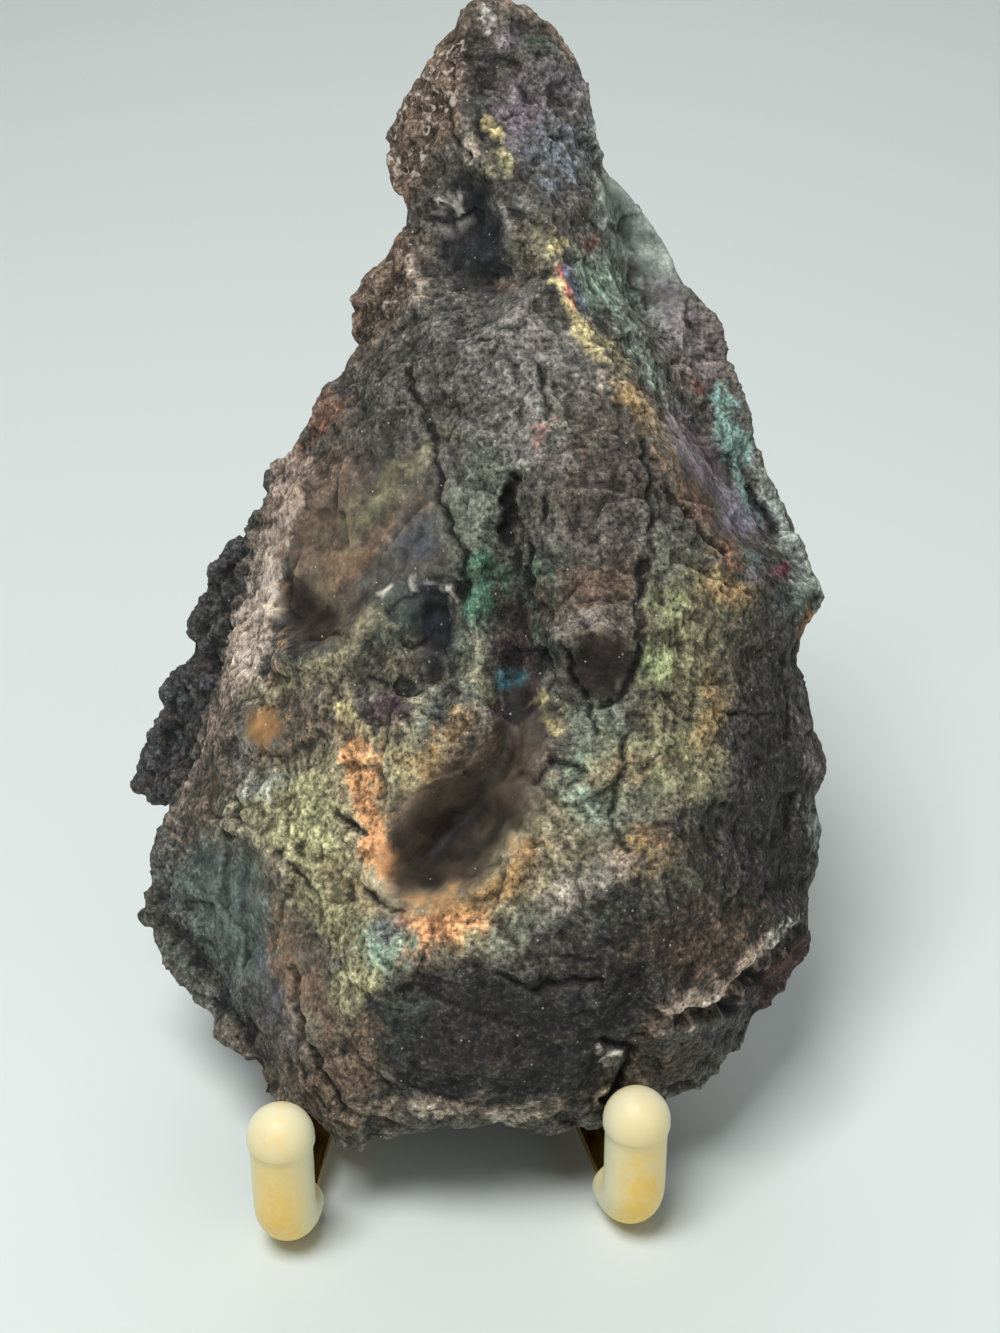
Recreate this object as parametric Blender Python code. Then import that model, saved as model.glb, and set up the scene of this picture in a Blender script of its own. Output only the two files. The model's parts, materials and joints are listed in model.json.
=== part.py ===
# Limonite on a bent strip stand
# Metres, Z up, the floor at zero, the stand symmetric about the YZ plane, the front towards -Y.
# The stone's own points are (across, up, away) in millimetres, in a frame that leans back on the stand.

import math

import bmesh
import bpy
from mathutils import Matrix, Vector, noise
from mathutils.geometry import delaunay_2d_cdt

MM = 0.001
GAP = 0.3  # clearance between pieces that touch

# The stand's own frame sits this far off the middle of the whole
STAND_X = -3.29
STAND_Y = -27.76

# Stone placing
STONE_LEAN = 30.0  # degrees back from upright
STONE_YAW = -4.0  # degrees about the vertical
STONE_SEAT = (0.15, 0.0, 4.1)

# Stone surface
CELL = 1.3  # edge length of the even mesh
KEPT_SHARE = 0.41  # share of the even mesh's triangles that the faceted stone keeps
BACK_DEPTH = 0.85  # thickness of the hidden back against the readings below
RIM_HALF = 0.8  # half the thickness of the stone along its outline
RIM_MARGIN = 0.12  # how far the outline stands out before the surface is evened
ROCK_GRAIN = 5.0
ROCK_RELIEF = 0.4
FINE_GRAIN = 1.9
FINE_RELIEF = 0.14
LUMP_SIZE = 4.2
LUMP_RELIEF = 1.1
CRUST_FROM = 6.0
CRUST_FULL = 9.5

# Stand strip
STRIP_WIDTH = 3.4
STRIP_THICK = 1.0
STRIP_EDGE = 0.15  # chamfer along the strip
HOOK_X = 14.1
HOOK_Y = -6.7
HOOK_TOP = 12.6
RUN_Z = 2.5  # centre height of the level run
RUN_INWARD = 0.19  # sideways travel for each millimetre back
HOOK_BEND = 3.0
RUN_END_Y = 20.5
LEG_LEAN = 36.0
LEG_BEND = 3.0
LEG_TOP_Z = 27.0
BEND_STEPS = 6

# Cross bar and rear leg
BAR_WIDTH = 16.0
BAR_HEIGHT = 5.0
BAR_THICK = 1.2
BAR_OFF = 0.3  # extra room behind the legs, whose faces toe in
REAR_WIDTH = 8.0
REAR_REACH = 19.0
REAR_FOOT = 6.0

# Sleeves
SLEEVE_RADIUS = 2.55
BEAD_RADIUS = 2.7
BEAD_LENGTH = 4.3
SLEEVE_SIDES = 16
SLEEVE_ROOF = 1.7  # from the tip of the dome to the top of the cavity
SLEEVE_PAST_BEND = 0.3

# Stone outline, clockwise from the left of the peak
PEAK_RIM = (
    (-0.3, 93.8, 3), (0.3, 95.3, 3), (1.5, 95.8, 2), (3.9, 95.7, 2), (6.9, 94.6, 3),
    (8.8, 93.4, 4), (10.3, 89.4, 4), (11.2, 87.1, 4), (12, 84.7, 4), (12.4, 82.1, 4.5),
)
SLAB_RIM = (
    (13.4, 82, 8), (15.4, 80, 8), (17, 77.7, 8), (18.2, 75.7, 8), (19.2, 73.4, 8),
    (21.4, 71.2, 7.5), (22.7, 69.5, 7), (23.4, 67.2, 7), (23.2, 65.6, 7), (24.4, 63, 7),
    (24.9, 60.7, 7), (26, 56.9, 7), (27.3, 54.7, 7), (28.5, 52.5, 6.5), (29.3, 50.3, 6),
    (30.3, 47.3, 6), (31.2, 45.6, 6), (30.3, 44.3, 5.5), (29.4, 42.6, 5),
)
RIGHT_RIM = (
    (28.9, 40.9, 5), (28.8, 40, 5), (29.6, 37.9, 5), (30.2, 35.3, 5), (31, 30.9, 5),
    (30, 28.9, 5), (30.7, 25.9, 5), (30.5, 22.5, 5), (29.8, 21.1, 5.5), (29.7, 18.9, 6),
    (30.2, 16.1, 6.5), (28.9, 13.8, 6), (26.6, 12, 5), (24.5, 11.1, 4), (23.9, 9.3, 2),
    (23.6, 8.2, 0),
)
FOOT_RIM = (
    (22.5, 7.5, -1), (19.3, 5.1, -2), (17.2, 4.3, -3.5), (14.8, 3.7, -4), (11.6, 3, -4.5),
    (10, 2.4, -5), (8.4, 1.9, -5), (6.8, 1.9, -5), (5.3, 2.6, -5), (3.5, 3.2, -5.5),
    (1.1, 2.9, -6), (-1.3, 2.6, -6), (-4.5, 2.3, -6), (-7.8, 1.4, -5), (-9.5, 1, -4.5),
    (-10.6, 2.2, -4), (-12.6, 3.4, -3.5), (-14.4, 4.1, -3), (-16, 5, -2),
)
LEFT_RIM = (
    (-16.4, 7.1, 0), (-18.1, 7.5, 1.5), (-20.4, 9.1, 3), (-20.7, 10.3, 4), (-23.4, 12.1, 5.5),
    (-25.3, 14.7, 7), (-26.1, 17.3, 8), (-27.5, 18, 8.5), (-26.6, 21.3, 8), (-26.1, 24.1, 8),
    (-24.7, 27.3, 8),
)
CRUST_RIM = (
    (-25.4, 28.1, 11), (-26.5, 28.3, 11.5), (-28.4, 29.2, 12), (-27.9, 31.1, 12), (-27.7, 32.9, 12),
    (-26.6, 35.1, 12), (-25.9, 36, 12), (-26, 38.2, 12), (-24.4, 39.6, 12), (-23.9, 40.9, 12),
    (-23.3, 44, 12), (-22.6, 45.8, 12), (-21.7, 48, 11.5), (-20.1, 50.3, 11), (-18.5, 50.6, 10.5),
    (-18.3, 51.9, 10.5), (-17.4, 54.5, 10), (-16.6, 56.2, 9.5), (-15.6, 57.7, 8.5),
)
UPPER_LEFT_RIM = (
    (-14.2, 58.1, 7), (-12.8, 60.2, 6), (-11.1, 63.6, 6), (-9.8, 64.7, 6), (-8.8, 67.1, 6),
    (-9.2, 69.2, 6), (-8.9, 71.4, 6), (-8.1, 72.6, 5.5), (-6.7, 74, 5), (-5.5, 75.9, 5),
    (-4.6, 77.5, 4.5), (-4.4, 79.7, 4.5), (-5.5, 80.6, 5), (-6.1, 82.8, 5), (-5.9, 84.9, 5),
    (-4.9, 87, 5), (-4.2, 88.6, 4.5), (-2.9, 90.6, 4), (-1.6, 92.6, 3.5),
)

# Ridges and edges of the front, each a line the surface breaks along
SPIRE_EDGE = (
    (0, 92.9, 1), (-0.5, 88.5, -1), (0.1, 85.3, -2), (0.9, 83.3, -2.5), (2.4, 80.9, -3),
    (3.5, 77.9, -3), (4.4, 75.2, -3),
)
CREST = (
    (11.6, 81.2, 3), (12.2, 79.7, 3), (12.6, 77.4, 2.5), (12.9, 75.5, 2), (13.1, 73.4, 1.5),
    (13.2, 71.8, 1), (13.6, 69.8, 0.5), (14.6, 67.5, 0), (15.7, 65.3, -0.5), (16.6, 61.7, -1.5),
)
SLAB_FOOT = (
    (13.4, 80.6, 7), (14.1, 77.4, 7), (14.6, 74, 6.5), (15.1, 71, 6.5), (16.4, 68.5, 6), (17.6, 66.5, 5.5),
)
FRONT_RIDGE = (
    (8.4, 72.2, -4), (9.6, 68, -5), (11.6, 65.5, -5.5), (13.4, 62.6, -6), (15.6, 59, -6),
    (17.7, 56.5, -6), (19.4, 52.6, -6.5), (21.5, 49.2, -6.5), (24.7, 46.7, -5), (27.7, 44.4, -1),
)
FACET_TOP = ((-14.6, 49.1, 2.5), (-12.2, 47.1, 0.5), (-9.6, 45.2, -2.5), (-7.7, 44.1, -4.5))
ARM_RIDGE = ((-16.5, 38.5, 1), (-14.6, 40.1, -1), (-12.6, 41, -3), (-9.4, 42.5, -5), (-6.8, 43.5, -6))
GROOVE = ((4.3, 55.2, -8), (4.1, 49.9, -7), (5.1, 45.2, -7), (4.7, 40.4, -7), (4.7, 36, -7.5))
WEDGE_TOP = ((7.9, 45.1, -10), (11, 46.8, -11), (14.5, 45.1, -12))
WEDGE_BROW = ((8, 41.9, -13), (11.2, 42.5, -14.5), (14.3, 41.8, -14))
WEDGE_TIP = ((8.7, 40, -11.5), (10.3, 36.8, -10.5), (13.3, 39.1, -12))
PIT_RIM = (
    (-4.6, 26.8, -11), (-5.9, 23.3, -11.5), (-3.8, 22.6, -12), (-1.5, 22, -12.5), (1.9, 23.2, -13),
    (4.1, 24.7, -13.5), (6.1, 27.4, -13.5), (5.1, 30.3, -13), (6.7, 32.8, -12),
)
PIT_SHOULDER = ((2.4, 33.9, -9.5), (0.3, 33.3, -10.5), (-2.4, 29.6, -10.5), (-4.6, 26.8, -11))
PIT_CREASE = ((-2.1, 24.4, -6), (-0.4, 26.2, -5), (1.9, 28.6, -5.5), (3.8, 31.7, -7))
YELLOW_RIDGE = (
    (-14.8, 25.3, -5), (-11.3, 22.1, -8), (-9, 19.8, -10), (-8.6, 17, -11), (-7.6, 11.4, -12),
    (-7.3, 6.9, -10.5),
)
LEDGE = (
    (-5.5, 15.5, -13.5), (-1.1, 17.4, -14.5), (2.8, 18.1, -15), (6.7, 18.2, -15.5), (8.7, 20.4, -15.5),
    (12, 22.8, -15.5), (14.2, 24.1, -15.5), (17.8, 25.3, -14.5), (16.8, 27.8, -13.5), (17, 29.9, -13),
)
FOOT_GROOVE = ((13.4, 13.8, -12), (14.1, 9.8, -10), (12.4, 7.3, -7.5))
LIP = ((17.2, 12.5, -12), (21.5, 12.9, -9), (22.5, 15.4, -8.5), (24.6, 17, -7), (27.8, 18.8, -3.5))
LOWER_LEFT_EDGE = (
    (-19.5, 28.7, 1), (-18.1, 27.5, -1.5), (-16.6, 25.6, -2.5), (-15.6, 23.1, -3.5), (-14.5, 20.1, -4.5),
    (-13.9, 17.2, -5.5), (-13.1, 14, -6.5), (-12.1, 11, -8), (-11, 7.2, -8), (-10.1, 4.4, -7.5),
)
BACK_BAND_EDGE = ((-25.1, 17.9, 6.5), (-22.2, 15.4, 4.5), (-19.6, 12.3, 2.5), (-17.5, 9.5, 0.5))
WHITE_EDGE = (
    (-13.7, 56.6, 4), (-14.4, 52.3, 3), (-15.4, 48, 3), (-16.6, 42.1, 2.5), (-18.3, 37.9, 2.5),
    (-20.8, 33.2, 4),
)
CRUST_EDGE = (
    (-15.7, 55.1, 7), (-17.1, 50.4, 7.5), (-19.4, 43.9, 8), (-21.4, 37.8, 8.5), (-22.9, 33, 8.5),
    (-24.2, 29.1, 8.5),
)

# Single heights of the front faces
SPIRE_POINTS = (
    (4.4, 92.1, 0), (6.9, 87.1, 0), (6, 81.6, -2), (9.6, 84.8, 1), (7.7, 90.7, 1), (10.2, 79.6, 0),
    (7.2, 76.5, -3), (-2.4, 86.7, 2), (-2.8, 82.5, 2), (-2.8, 78.9, 3), (-4.5, 74.2, 3.5), (-6, 71, 3.5),
    (-4, 70.6, 1), (-1.5, 79.6, 2), (1.4, 77, 1.5), (-0.3, 72.8, 1.5), (2.7, 71.8, 0.5),
)
SLAB_POINTS = (
    (19.9, 67.2, 6.5), (20.7, 63.2, 6), (23.7, 57.6, 6), (25.6, 53.3, 5.5), (27.5, 48.9, 4),
    (18, 61.4, 2.5), (20.8, 58.1, 3.5), (22.4, 53.9, 2.5), (24.6, 49.8, 0.5),
)
COLUMN_POINTS = (
    (-2.6, 67.5, -2.5), (-1.4, 61.6, -4.5), (1.9, 65.5, -5.5), (5.1, 68.7, -5.5), (5.9, 61.2, -7.5),
    (1.9, 57.3, -7), (8.3, 57.9, -9), (11.5, 59.6, -8), (13.8, 54.6, -9.5), (8.3, 51.4, -10),
    (1.9, 51.6, -8), (-0.3, 52.5, -6.5), (14.8, 61.3, -6.5),
)
LEFT_POINTS = (
    (-5.1, 63.9, -2), (-6.4, 59.4, -2), (-9, 58.8, 0), (-11, 54.6, 0.5), (-7.2, 53.2, -2.5),
    (-4.4, 48.5, -5), (-9.3, 48.2, -2), (-12.4, 51.3, 1.5), (-1.9, 47.6, -7), (-13.4, 44.5, 3),
    (-11.8, 43.9, 1.5), (-1.7, 44.9, -4), (-1.6, 42, -3.5), (-3, 45.3, -5.5), (-0.4, 40.4, -5.5),
)
MIDDLE_POINTS = (
    (1.5, 46, -8.5), (1.7, 39.8, -9), (-4.9, 42, -7), (-5.2, 37.2, -8.5), (-3.2, 36.1, -10.5),
    (-1.2, 34.5, -10.5), (-9.4, 37.2, -5.5), (-12.9, 35.9, -3),
)
RIGHT_POINTS = (
    (16.1, 48.3, -10.5), (19.4, 45.2, -9), (15.9, 39.6, -12), (20.5, 35.7, -10), (21.6, 42, -8),
    (12.9, 34.2, -12.5), (15.9, 32.6, -13), (11.3, 30.3, -13), (25.7, 40.4, -3), (26.6, 33, -3),
    (25.3, 24.9, -4.5), (22, 30.9, -9.5), (19.2, 28.6, -11.5), (27.9, 22, 0.5), (23.7, 20.7, -7),
    (22.2, 37.2, -8.5),
)
LOWER_POINTS = (
    (-9.3, 29.2, -7), (-12.7, 25, -5), (-8.2, 22.9, -9), (-14.1, 29, -3.5), (-17.2, 31.7, -1),
    (-18.5, 34.6, 0.5), (-1.1, 19.5, -14), (6.6, 21.9, -14.5), (10.4, 25.8, -14.5), (-6.6, 19.6, -12.5),
    (0, 14.1, -14), (5.1, 13.4, -14.2), (10.4, 15, -14.5), (-2.7, 9.2, -12.5), (3.5, 8.1, -12.5),
    (9, 9.2, -12.5), (10.2, 5, -8), (13.5, 5.6, -5.5), (17, 6.6, -5.5), (6.7, 4.8, -9),
    (-0.4, 4.8, -9.5), (-6.4, 4.8, -9),
    (15, 18.9, -15), (20.8, 19.6, -11), (15.5, 14.4, -13.5), (16.4, 10.2, -11.5), (19.4, 10.2, -9),
    (23.7, 12.4, -2.5), (24.9, 14.3, -1), (26.9, 15.8, 0.5), (-22.4, 24.3, 4), (-21.6, 19.7, 3),
    (-18.9, 15.4, 0.5), (-16.1, 10.8, -2.5),
)
CRUST_POINTS = ((-19.6, 47.9, 10), (-21.6, 42.2, 10.5), (-23.6, 36.5, 10.5), (-25.5, 32.5, 10.5))

# Heights of the back and of the underside
BACK_POINTS = (
    (1.6, 94.6, 5), (5.2, 93.6, 7), (8.8, 89.3, 9), (3.5, 89.2, 12), (-1.7, 88.4, 9), (-0.9, 82.1, 12),
    (8, 81.6, 14), (-4.3, 81.6, 7), (-1, 72.8, 15), (10.7, 73, 16), (18.6, 70.6, 12), (-7.2, 63.6, 13),
    (3.5, 64.3, 19), (14.5, 62.4, 18), (21.2, 59.9, 12), (-11.8, 54.8, 15), (-2.9, 53.4, 20),
    (9.1, 53.4, 21), (19.8, 51.3, 16), (26.2, 49.2, 9), (-19.1, 44.1, 16), (-11.2, 42.3, 20),
    (1.7, 41.4, 22), (14.6, 41.4, 21), (24.1, 40.5, 14), (-24.5, 33.2, 16), (-18.5, 31.3, 19),
    (-8.6, 31.2, 22), (3.5, 29.3, 23), (16.5, 29.4, 21), (25.8, 29.8, 13), (-23.3, 22.6, 14),
    (-15.6, 20.4, 18), (-3.8, 18.4, 20), (9, 18.4, 20), (20.7, 19.7, 16), (28, 21.2, 9),
    (-19.5, 13, 12), (-10.1, 10.5, 17), (1.7, 9.5, 17.5), (13.5, 9.7, 16.5), (22.9, 12.2, 11),
    (-15, 6.6, 9), (17.6, 6.6, 9), (-13.6, 5.2, 3), (-7, 5.2, 9), (3.5, 5.2, 10), (12.3, 5.2, 9),
    (-9.9, 3, 0), (-3.2, 3.6, 1), (3.5, 4.4, 1), (10.3, 3.8, 1), (16.3, 5.2, 3),
)

STONE_COLOUR = (0.09, 0.075, 0.062, 1)
STRIP_COLOUR = (0.62, 0.43, 0.14, 1)
SLEEVE_COLOUR = (0.78, 0.68, 0.42, 1)


def clear_scene():
    for obj in list(bpy.data.objects):
        bpy.data.objects.remove(obj)


def material(name, colour, roughness, metallic):
    made = bpy.data.materials.new(name)
    made.use_nodes = True
    shader = made.node_tree.nodes["Principled BSDF"]
    shader.inputs["Base Color"].default_value = colour
    shader.inputs["Roughness"].default_value = roughness
    shader.inputs["Metallic"].default_value = metallic
    return made


def add_object(name, verts, faces, made):
    """Links a closed mesh given in millimetres, with its faces turned outwards."""
    mesh = bpy.data.meshes.new(name)
    mesh.from_pydata([Vector(v) * MM for v in verts], [], faces)
    bm = bmesh.new()
    bm.from_mesh(mesh)
    bmesh.ops.recalc_face_normals(bm, faces=bm.faces)
    bmesh.ops.triangulate(bm, faces=bm.faces)
    bm.to_mesh(mesh)
    bm.free()
    mesh.materials.append(made)
    obj = bpy.data.objects.new(name, mesh)
    bpy.context.scene.collection.objects.link(obj)
    obj.location = (STAND_X * MM, STAND_Y * MM, 0.0)
    return obj


def smoothstep(low, high, value):
    t = min(max((value - low) / (high - low), 0.0), 1.0)
    return t * t * (3 - 2 * t)


def sheet(rim, lines, points):
    """Triangulates the outline with its inner lines and heights, as vertices and index triples."""
    known = list(rim)
    edges = []
    for line in lines:
        start = len(known)
        known.extend(line)
        edges.extend((start + i, start + i + 1) for i in range(len(line) - 1))
    known.extend(points)
    flat = [Vector((x, z)) for x, z, _ in known]
    outline = [list(range(len(rim)))]
    placed, _, triangles, sources, _, _ = delaunay_2d_cdt(flat, edges, outline, 1, 1e-4)
    verts = []
    for spot, source in zip(placed, sources):
        if source:
            depth = known[source[0]][2]
        else:
            depth = min(known, key=lambda p: (p[0] - spot.x) ** 2 + (p[1] - spot.y) ** 2)[2]
        verts.append((spot.x, depth, spot.y))
    return verts, triangles


def widened(rim):
    """The outline moved out a little, counterclockwise, square to itself."""
    wider = []
    for i, (x, z, y) in enumerate(rim):
        before = Vector(rim[i - 1][:2])
        after = Vector(rim[(i + 1) % len(rim)][:2])
        along = (after - before).normalized()
        wider.append((x + along.y * RIM_MARGIN, z - along.x * RIM_MARGIN, y))
    return wider


def stone_cage():
    """The closed hull of a front and a back sheet, joined by a narrow band along the outline."""
    rim = PEAK_RIM + SLAB_RIM + RIGHT_RIM + FOOT_RIM + LEFT_RIM + CRUST_RIM + UPPER_LEFT_RIM
    rim = widened(rim[::-1])
    front_rim = [(x, z, y - RIM_HALF) for x, z, y in rim]
    back_rim = [(x, z, y + RIM_HALF) for x, z, y in rim]
    lines = (
        SPIRE_EDGE, CREST, SLAB_FOOT, FRONT_RIDGE, FACET_TOP, ARM_RIDGE, GROOVE, WEDGE_TOP, WEDGE_BROW,
        WEDGE_TIP, PIT_RIM, PIT_SHOULDER, PIT_CREASE, YELLOW_RIDGE, LEDGE, FOOT_GROOVE, LIP,
        LOWER_LEFT_EDGE, BACK_BAND_EDGE, WHITE_EDGE, CRUST_EDGE,
    )
    front_points = (
        SPIRE_POINTS + SLAB_POINTS + COLUMN_POINTS + LEFT_POINTS + MIDDLE_POINTS + RIGHT_POINTS
        + LOWER_POINTS + CRUST_POINTS
    )
    back_points = tuple((x, z, y * BACK_DEPTH) for x, z, y in BACK_POINTS)
    verts, faces = sheet(front_rim, lines, front_points)
    back_verts, back_faces = sheet(back_rim, (), back_points)
    start = len(verts)
    verts.extend(back_verts)
    faces.extend(tuple(start + i for i in face[::-1]) for face in back_faces)
    start = len(verts)
    verts.extend((x, y, z) for x, z, y in front_rim + back_rim)
    for i in range(len(rim)):
        j = (i + 1) % len(rim)
        faces.append((start + i, start + len(rim) + i, start + len(rim) + j, start + j))
    return verts, faces


def rock_offset(spot):
    """How far the rough surface stands out at a point of the stone's own frame, in millimetres."""
    coarse = noise.fractal(spot / ROCK_GRAIN, 0.8, 2.0, 3)
    fine = noise.noise(spot / FINE_GRAIN + Vector((7.3, 1.1, 4.9)))
    near = noise.voronoi(spot / LUMP_SIZE)[0][0]
    lump = math.sqrt(max(1.0 - (near / 0.75) ** 2, 0.0))
    crust = smoothstep(CRUST_FROM, CRUST_FULL, spot.y)
    rock = ROCK_RELIEF * coarse + FINE_RELIEF * fine
    return rock * (1.0 - 0.5 * crust) + crust * LUMP_RELIEF * (lump - 0.6)


def largest_piece(mesh):
    """Drops the crumbs that the even mesh can leave beside the main body."""
    bm = bmesh.new()
    bm.from_mesh(mesh)
    left = set(bm.verts)
    pieces = []
    while left:
        piece = {left.pop()}
        edge = list(piece)
        while edge:
            spot = edge.pop()
            for link in spot.link_edges:
                other = link.other_vert(spot)
                if other not in piece:
                    piece.add(other)
                    edge.append(other)
        left -= piece
        pieces.append(piece)
    pieces.sort(key=len)
    crumbs = [spot for piece in pieces[:-1] for spot in piece]
    bmesh.ops.delete(bm, geom=crumbs, context="VERTS")
    bm.normal_update()
    bm.to_mesh(mesh)
    bm.free()


def stone_placing():
    lean = Matrix.Rotation(math.radians(-STONE_LEAN), 4, "X")
    yaw = Matrix.Rotation(math.radians(STONE_YAW), 4, "Z")
    return Matrix.Translation(Vector(STONE_SEAT)) @ yaw @ lean


def build_stone(made):
    """Evens the cage out into small cells, roughens them and leans the stone on its stand."""
    verts, faces = stone_cage()
    cage = add_object("cage", verts, faces, made)
    bm = bmesh.new()
    bm.from_mesh(cage.data)
    bmesh.ops.remove_doubles(bm, verts=bm.verts, dist=0.01 * MM)
    bmesh.ops.recalc_face_normals(bm, faces=bm.faces)
    bm.to_mesh(cage.data)
    bm.free()
    even = cage.modifiers.new("even", "REMESH")
    even.mode = "VOXEL"
    even.voxel_size = CELL * MM
    graph = bpy.context.evaluated_depsgraph_get()
    mesh = bpy.data.meshes.new_from_object(cage.evaluated_get(graph))
    bpy.data.objects.remove(cage)
    largest_piece(mesh)
    rough = []
    for vertex in mesh.vertices:
        spot = vertex.co / MM
        rough.append(spot + vertex.normal * rock_offset(spot))
    place = stone_placing()
    corners = [tuple(face.vertices) for face in mesh.polygons]
    bpy.data.meshes.remove(mesh)
    stone = add_object("limonite", [place @ spot for spot in rough], corners, made)
    fewer = stone.modifiers.new("fewer", "DECIMATE")
    fewer.ratio = KEPT_SHARE
    return stone


def bent_path(corners, radii):
    """A polyline in a plane with its inner corners rounded, as points and unit tangents."""
    points = [corners[0]]
    for i, radius in enumerate(radii, 1):
        into = (corners[i] - corners[i - 1]).normalized()
        out = (corners[i + 1] - corners[i]).normalized()
        turn = into.angle(out)
        back = radius * math.tan(turn / 2)
        centre = corners[i] + (out - into).normalized() * (radius / math.cos(turn / 2))
        start = corners[i] - into * back
        axis = into.cross(out).normalized()
        for step in range(BEND_STEPS + 1):
            spin = Matrix.Rotation(turn * step / BEND_STEPS, 3, axis)
            points.append(centre + spin @ (start - centre))
    points.append(corners[-1])
    tangents = []
    for i, spot in enumerate(points):
        before = points[max(i - 1, 0)]
        after = points[min(i + 1, len(points) - 1)]
        tangents.append(((spot - before).normalized() + (after - spot).normalized()).normalized())
    return points, tangents


def strip_section():
    half_w = STRIP_WIDTH / 2
    half_t = STRIP_THICK / 2
    c = STRIP_EDGE
    return (
        (half_w, half_t - c), (half_w - c, half_t), (c - half_w, half_t), (-half_w, half_t - c),
        (-half_w, c - half_t), (c - half_w, -half_t), (half_w - c, -half_t), (half_w, c - half_t),
    )


def loft(rings):
    """Joins rings of equal count in order and closes both ends."""
    count = len(rings[0])
    verts = [spot for ring in rings for spot in ring]
    faces = [tuple(range(count))]
    for r in range(len(rings) - 1):
        for i in range(count):
            j = (i + 1) % count
            faces.append((r * count + i, r * count + j, (r + 1) * count + j, (r + 1) * count + i))
    last = (len(rings) - 1) * count
    faces.append(tuple(range(last, last + count)))
    return verts, faces


def ring_at(spot, tangent, across, section):
    """A section's (across, normal) pairs set square to the path."""
    normal = tangent.cross(across).normalized()
    return [spot + across * a + normal * n for a, n in section]


def hook_corners(side):
    """Corners of an arm's centreline: hook tip, floor bend, leg bend and leg top."""
    heading = Vector((-side * RUN_INWARD, 1.0, 0.0)).normalized()
    foot = Vector((side * HOOK_X, HOOK_Y, RUN_Z))
    heel = foot + heading * ((RUN_END_Y - HOOK_Y) / heading.y)
    rise = LEG_TOP_Z - RUN_Z
    top = heel + heading * (rise * math.tan(math.radians(LEG_LEAN))) + Vector((0, 0, rise))
    return [foot + Vector((0, 0, HOOK_TOP - RUN_Z)), foot, heel, top]


def across_of(side):
    return Vector((1.0, side * RUN_INWARD, 0.0)).normalized()


def build_arm(name, side, made):
    points, tangents = bent_path(hook_corners(side), (HOOK_BEND, LEG_BEND))
    across = across_of(side)
    section = strip_section()
    verts, faces = loft([ring_at(p, t, across, section) for p, t in zip(points, tangents)])
    return add_object(name, verts, faces, made)


def round_section(radius):
    steps = [2 * math.pi * (i + 0.5) / SLEEVE_SIDES for i in range(SLEEVE_SIDES)]
    return [(radius * math.cos(a), radius * math.sin(a)) for a in steps]


def slot_section():
    """A rounded slot around the strip, with as many corners as the round outside."""
    half_w = STRIP_WIDTH / 2 + GAP
    half_t = STRIP_THICK / 2 + GAP
    steps = [2 * math.pi * (i + 0.5) / SLEEVE_SIDES for i in range(SLEEVE_SIDES)]
    slot = []
    for a in steps:
        c = math.cos(a)
        s = math.sin(a)
        reach = 1.0 / max(abs(c), abs(s))
        slot.append((half_w * c * reach, half_t * s * reach))
    return slot


def build_sleeve(name, side, made):
    """A blind round sleeve over the hook and its bend, with a slightly wider rounded tip."""
    corners = hook_corners(side)
    tip, foot, heel = corners[0], corners[1], corners[2]
    heading = (heel - foot).normalized()
    end = foot + heading * (HOOK_BEND + SLEEVE_PAST_BEND)
    points, tangents = bent_path([tip, foot, end], (HOOK_BEND,))
    across = across_of(side)
    down = Vector((0, 0, -1))
    top = tip.z + SLEEVE_ROOF + GAP
    rings = []
    for angle in (6, 22, 40, 62, 90):
        level = top - BEAD_RADIUS * (1 - math.cos(math.radians(angle)))
        radius = BEAD_RADIUS * math.sin(math.radians(angle))
        rings.append(ring_at(Vector((tip.x, tip.y, level)), down, across, round_section(radius)))
    for drop, radius in ((BEAD_LENGTH, BEAD_RADIUS), (BEAD_LENGTH + 0.25, SLEEVE_RADIUS)):
        spot = Vector((tip.x, tip.y, top - drop))
        rings.append(ring_at(spot, down, across, round_section(radius)))
    for spot, tangent in zip(points[1:], tangents[1:]):
        rings.append(ring_at(spot, tangent, across, round_section(SLEEVE_RADIUS)))
    for spot, tangent in zip(points[:0:-1], tangents[:0:-1]):
        rings.append(ring_at(spot, tangent, across, slot_section()))
    roof = Vector((tip.x, tip.y, tip.z + GAP))
    rings.append(ring_at(roof, down, across, slot_section()))
    verts, faces = loft(rings)
    return add_object(name, verts, faces, made)


def leg_frame():
    """Middle of the two leg tops, with the direction up the legs and the normal away behind them."""
    left, right = hook_corners(-1), hook_corners(1)
    top = (left[3] + right[3]) / 2
    up = Vector((0, top.y - RUN_END_Y, LEG_TOP_Z - RUN_Z)).normalized()
    behind = Vector((0, up.z, -up.y))
    return top, up, behind


def box(centre, across, up, normal, width, height, thick):
    verts = []
    for n in (-0.5, 0.5):
        for a, u in ((-0.5, -0.5), (0.5, -0.5), (0.5, 0.5), (-0.5, 0.5)):
            verts.append(centre + across * (a * width) + up * (u * height) + normal * (n * thick))
    faces = [(0, 1, 2, 3), (4, 5, 6, 7), (0, 1, 5, 4), (1, 2, 6, 5), (2, 3, 7, 6), (3, 0, 4, 7)]
    return verts, faces


def bar_centre():
    top, up, behind = leg_frame()
    return top - up * (BAR_HEIGHT / 2) + behind * (STRIP_THICK / 2 + GAP + BAR_OFF + BAR_THICK / 2)


def build_bar(made):
    _, up, behind = leg_frame()
    verts, faces = box(bar_centre(), Vector((1, 0, 0)), up, behind, BAR_WIDTH, BAR_HEIGHT, BAR_THICK)
    return add_object("cross_bar", verts, faces, made)


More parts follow.
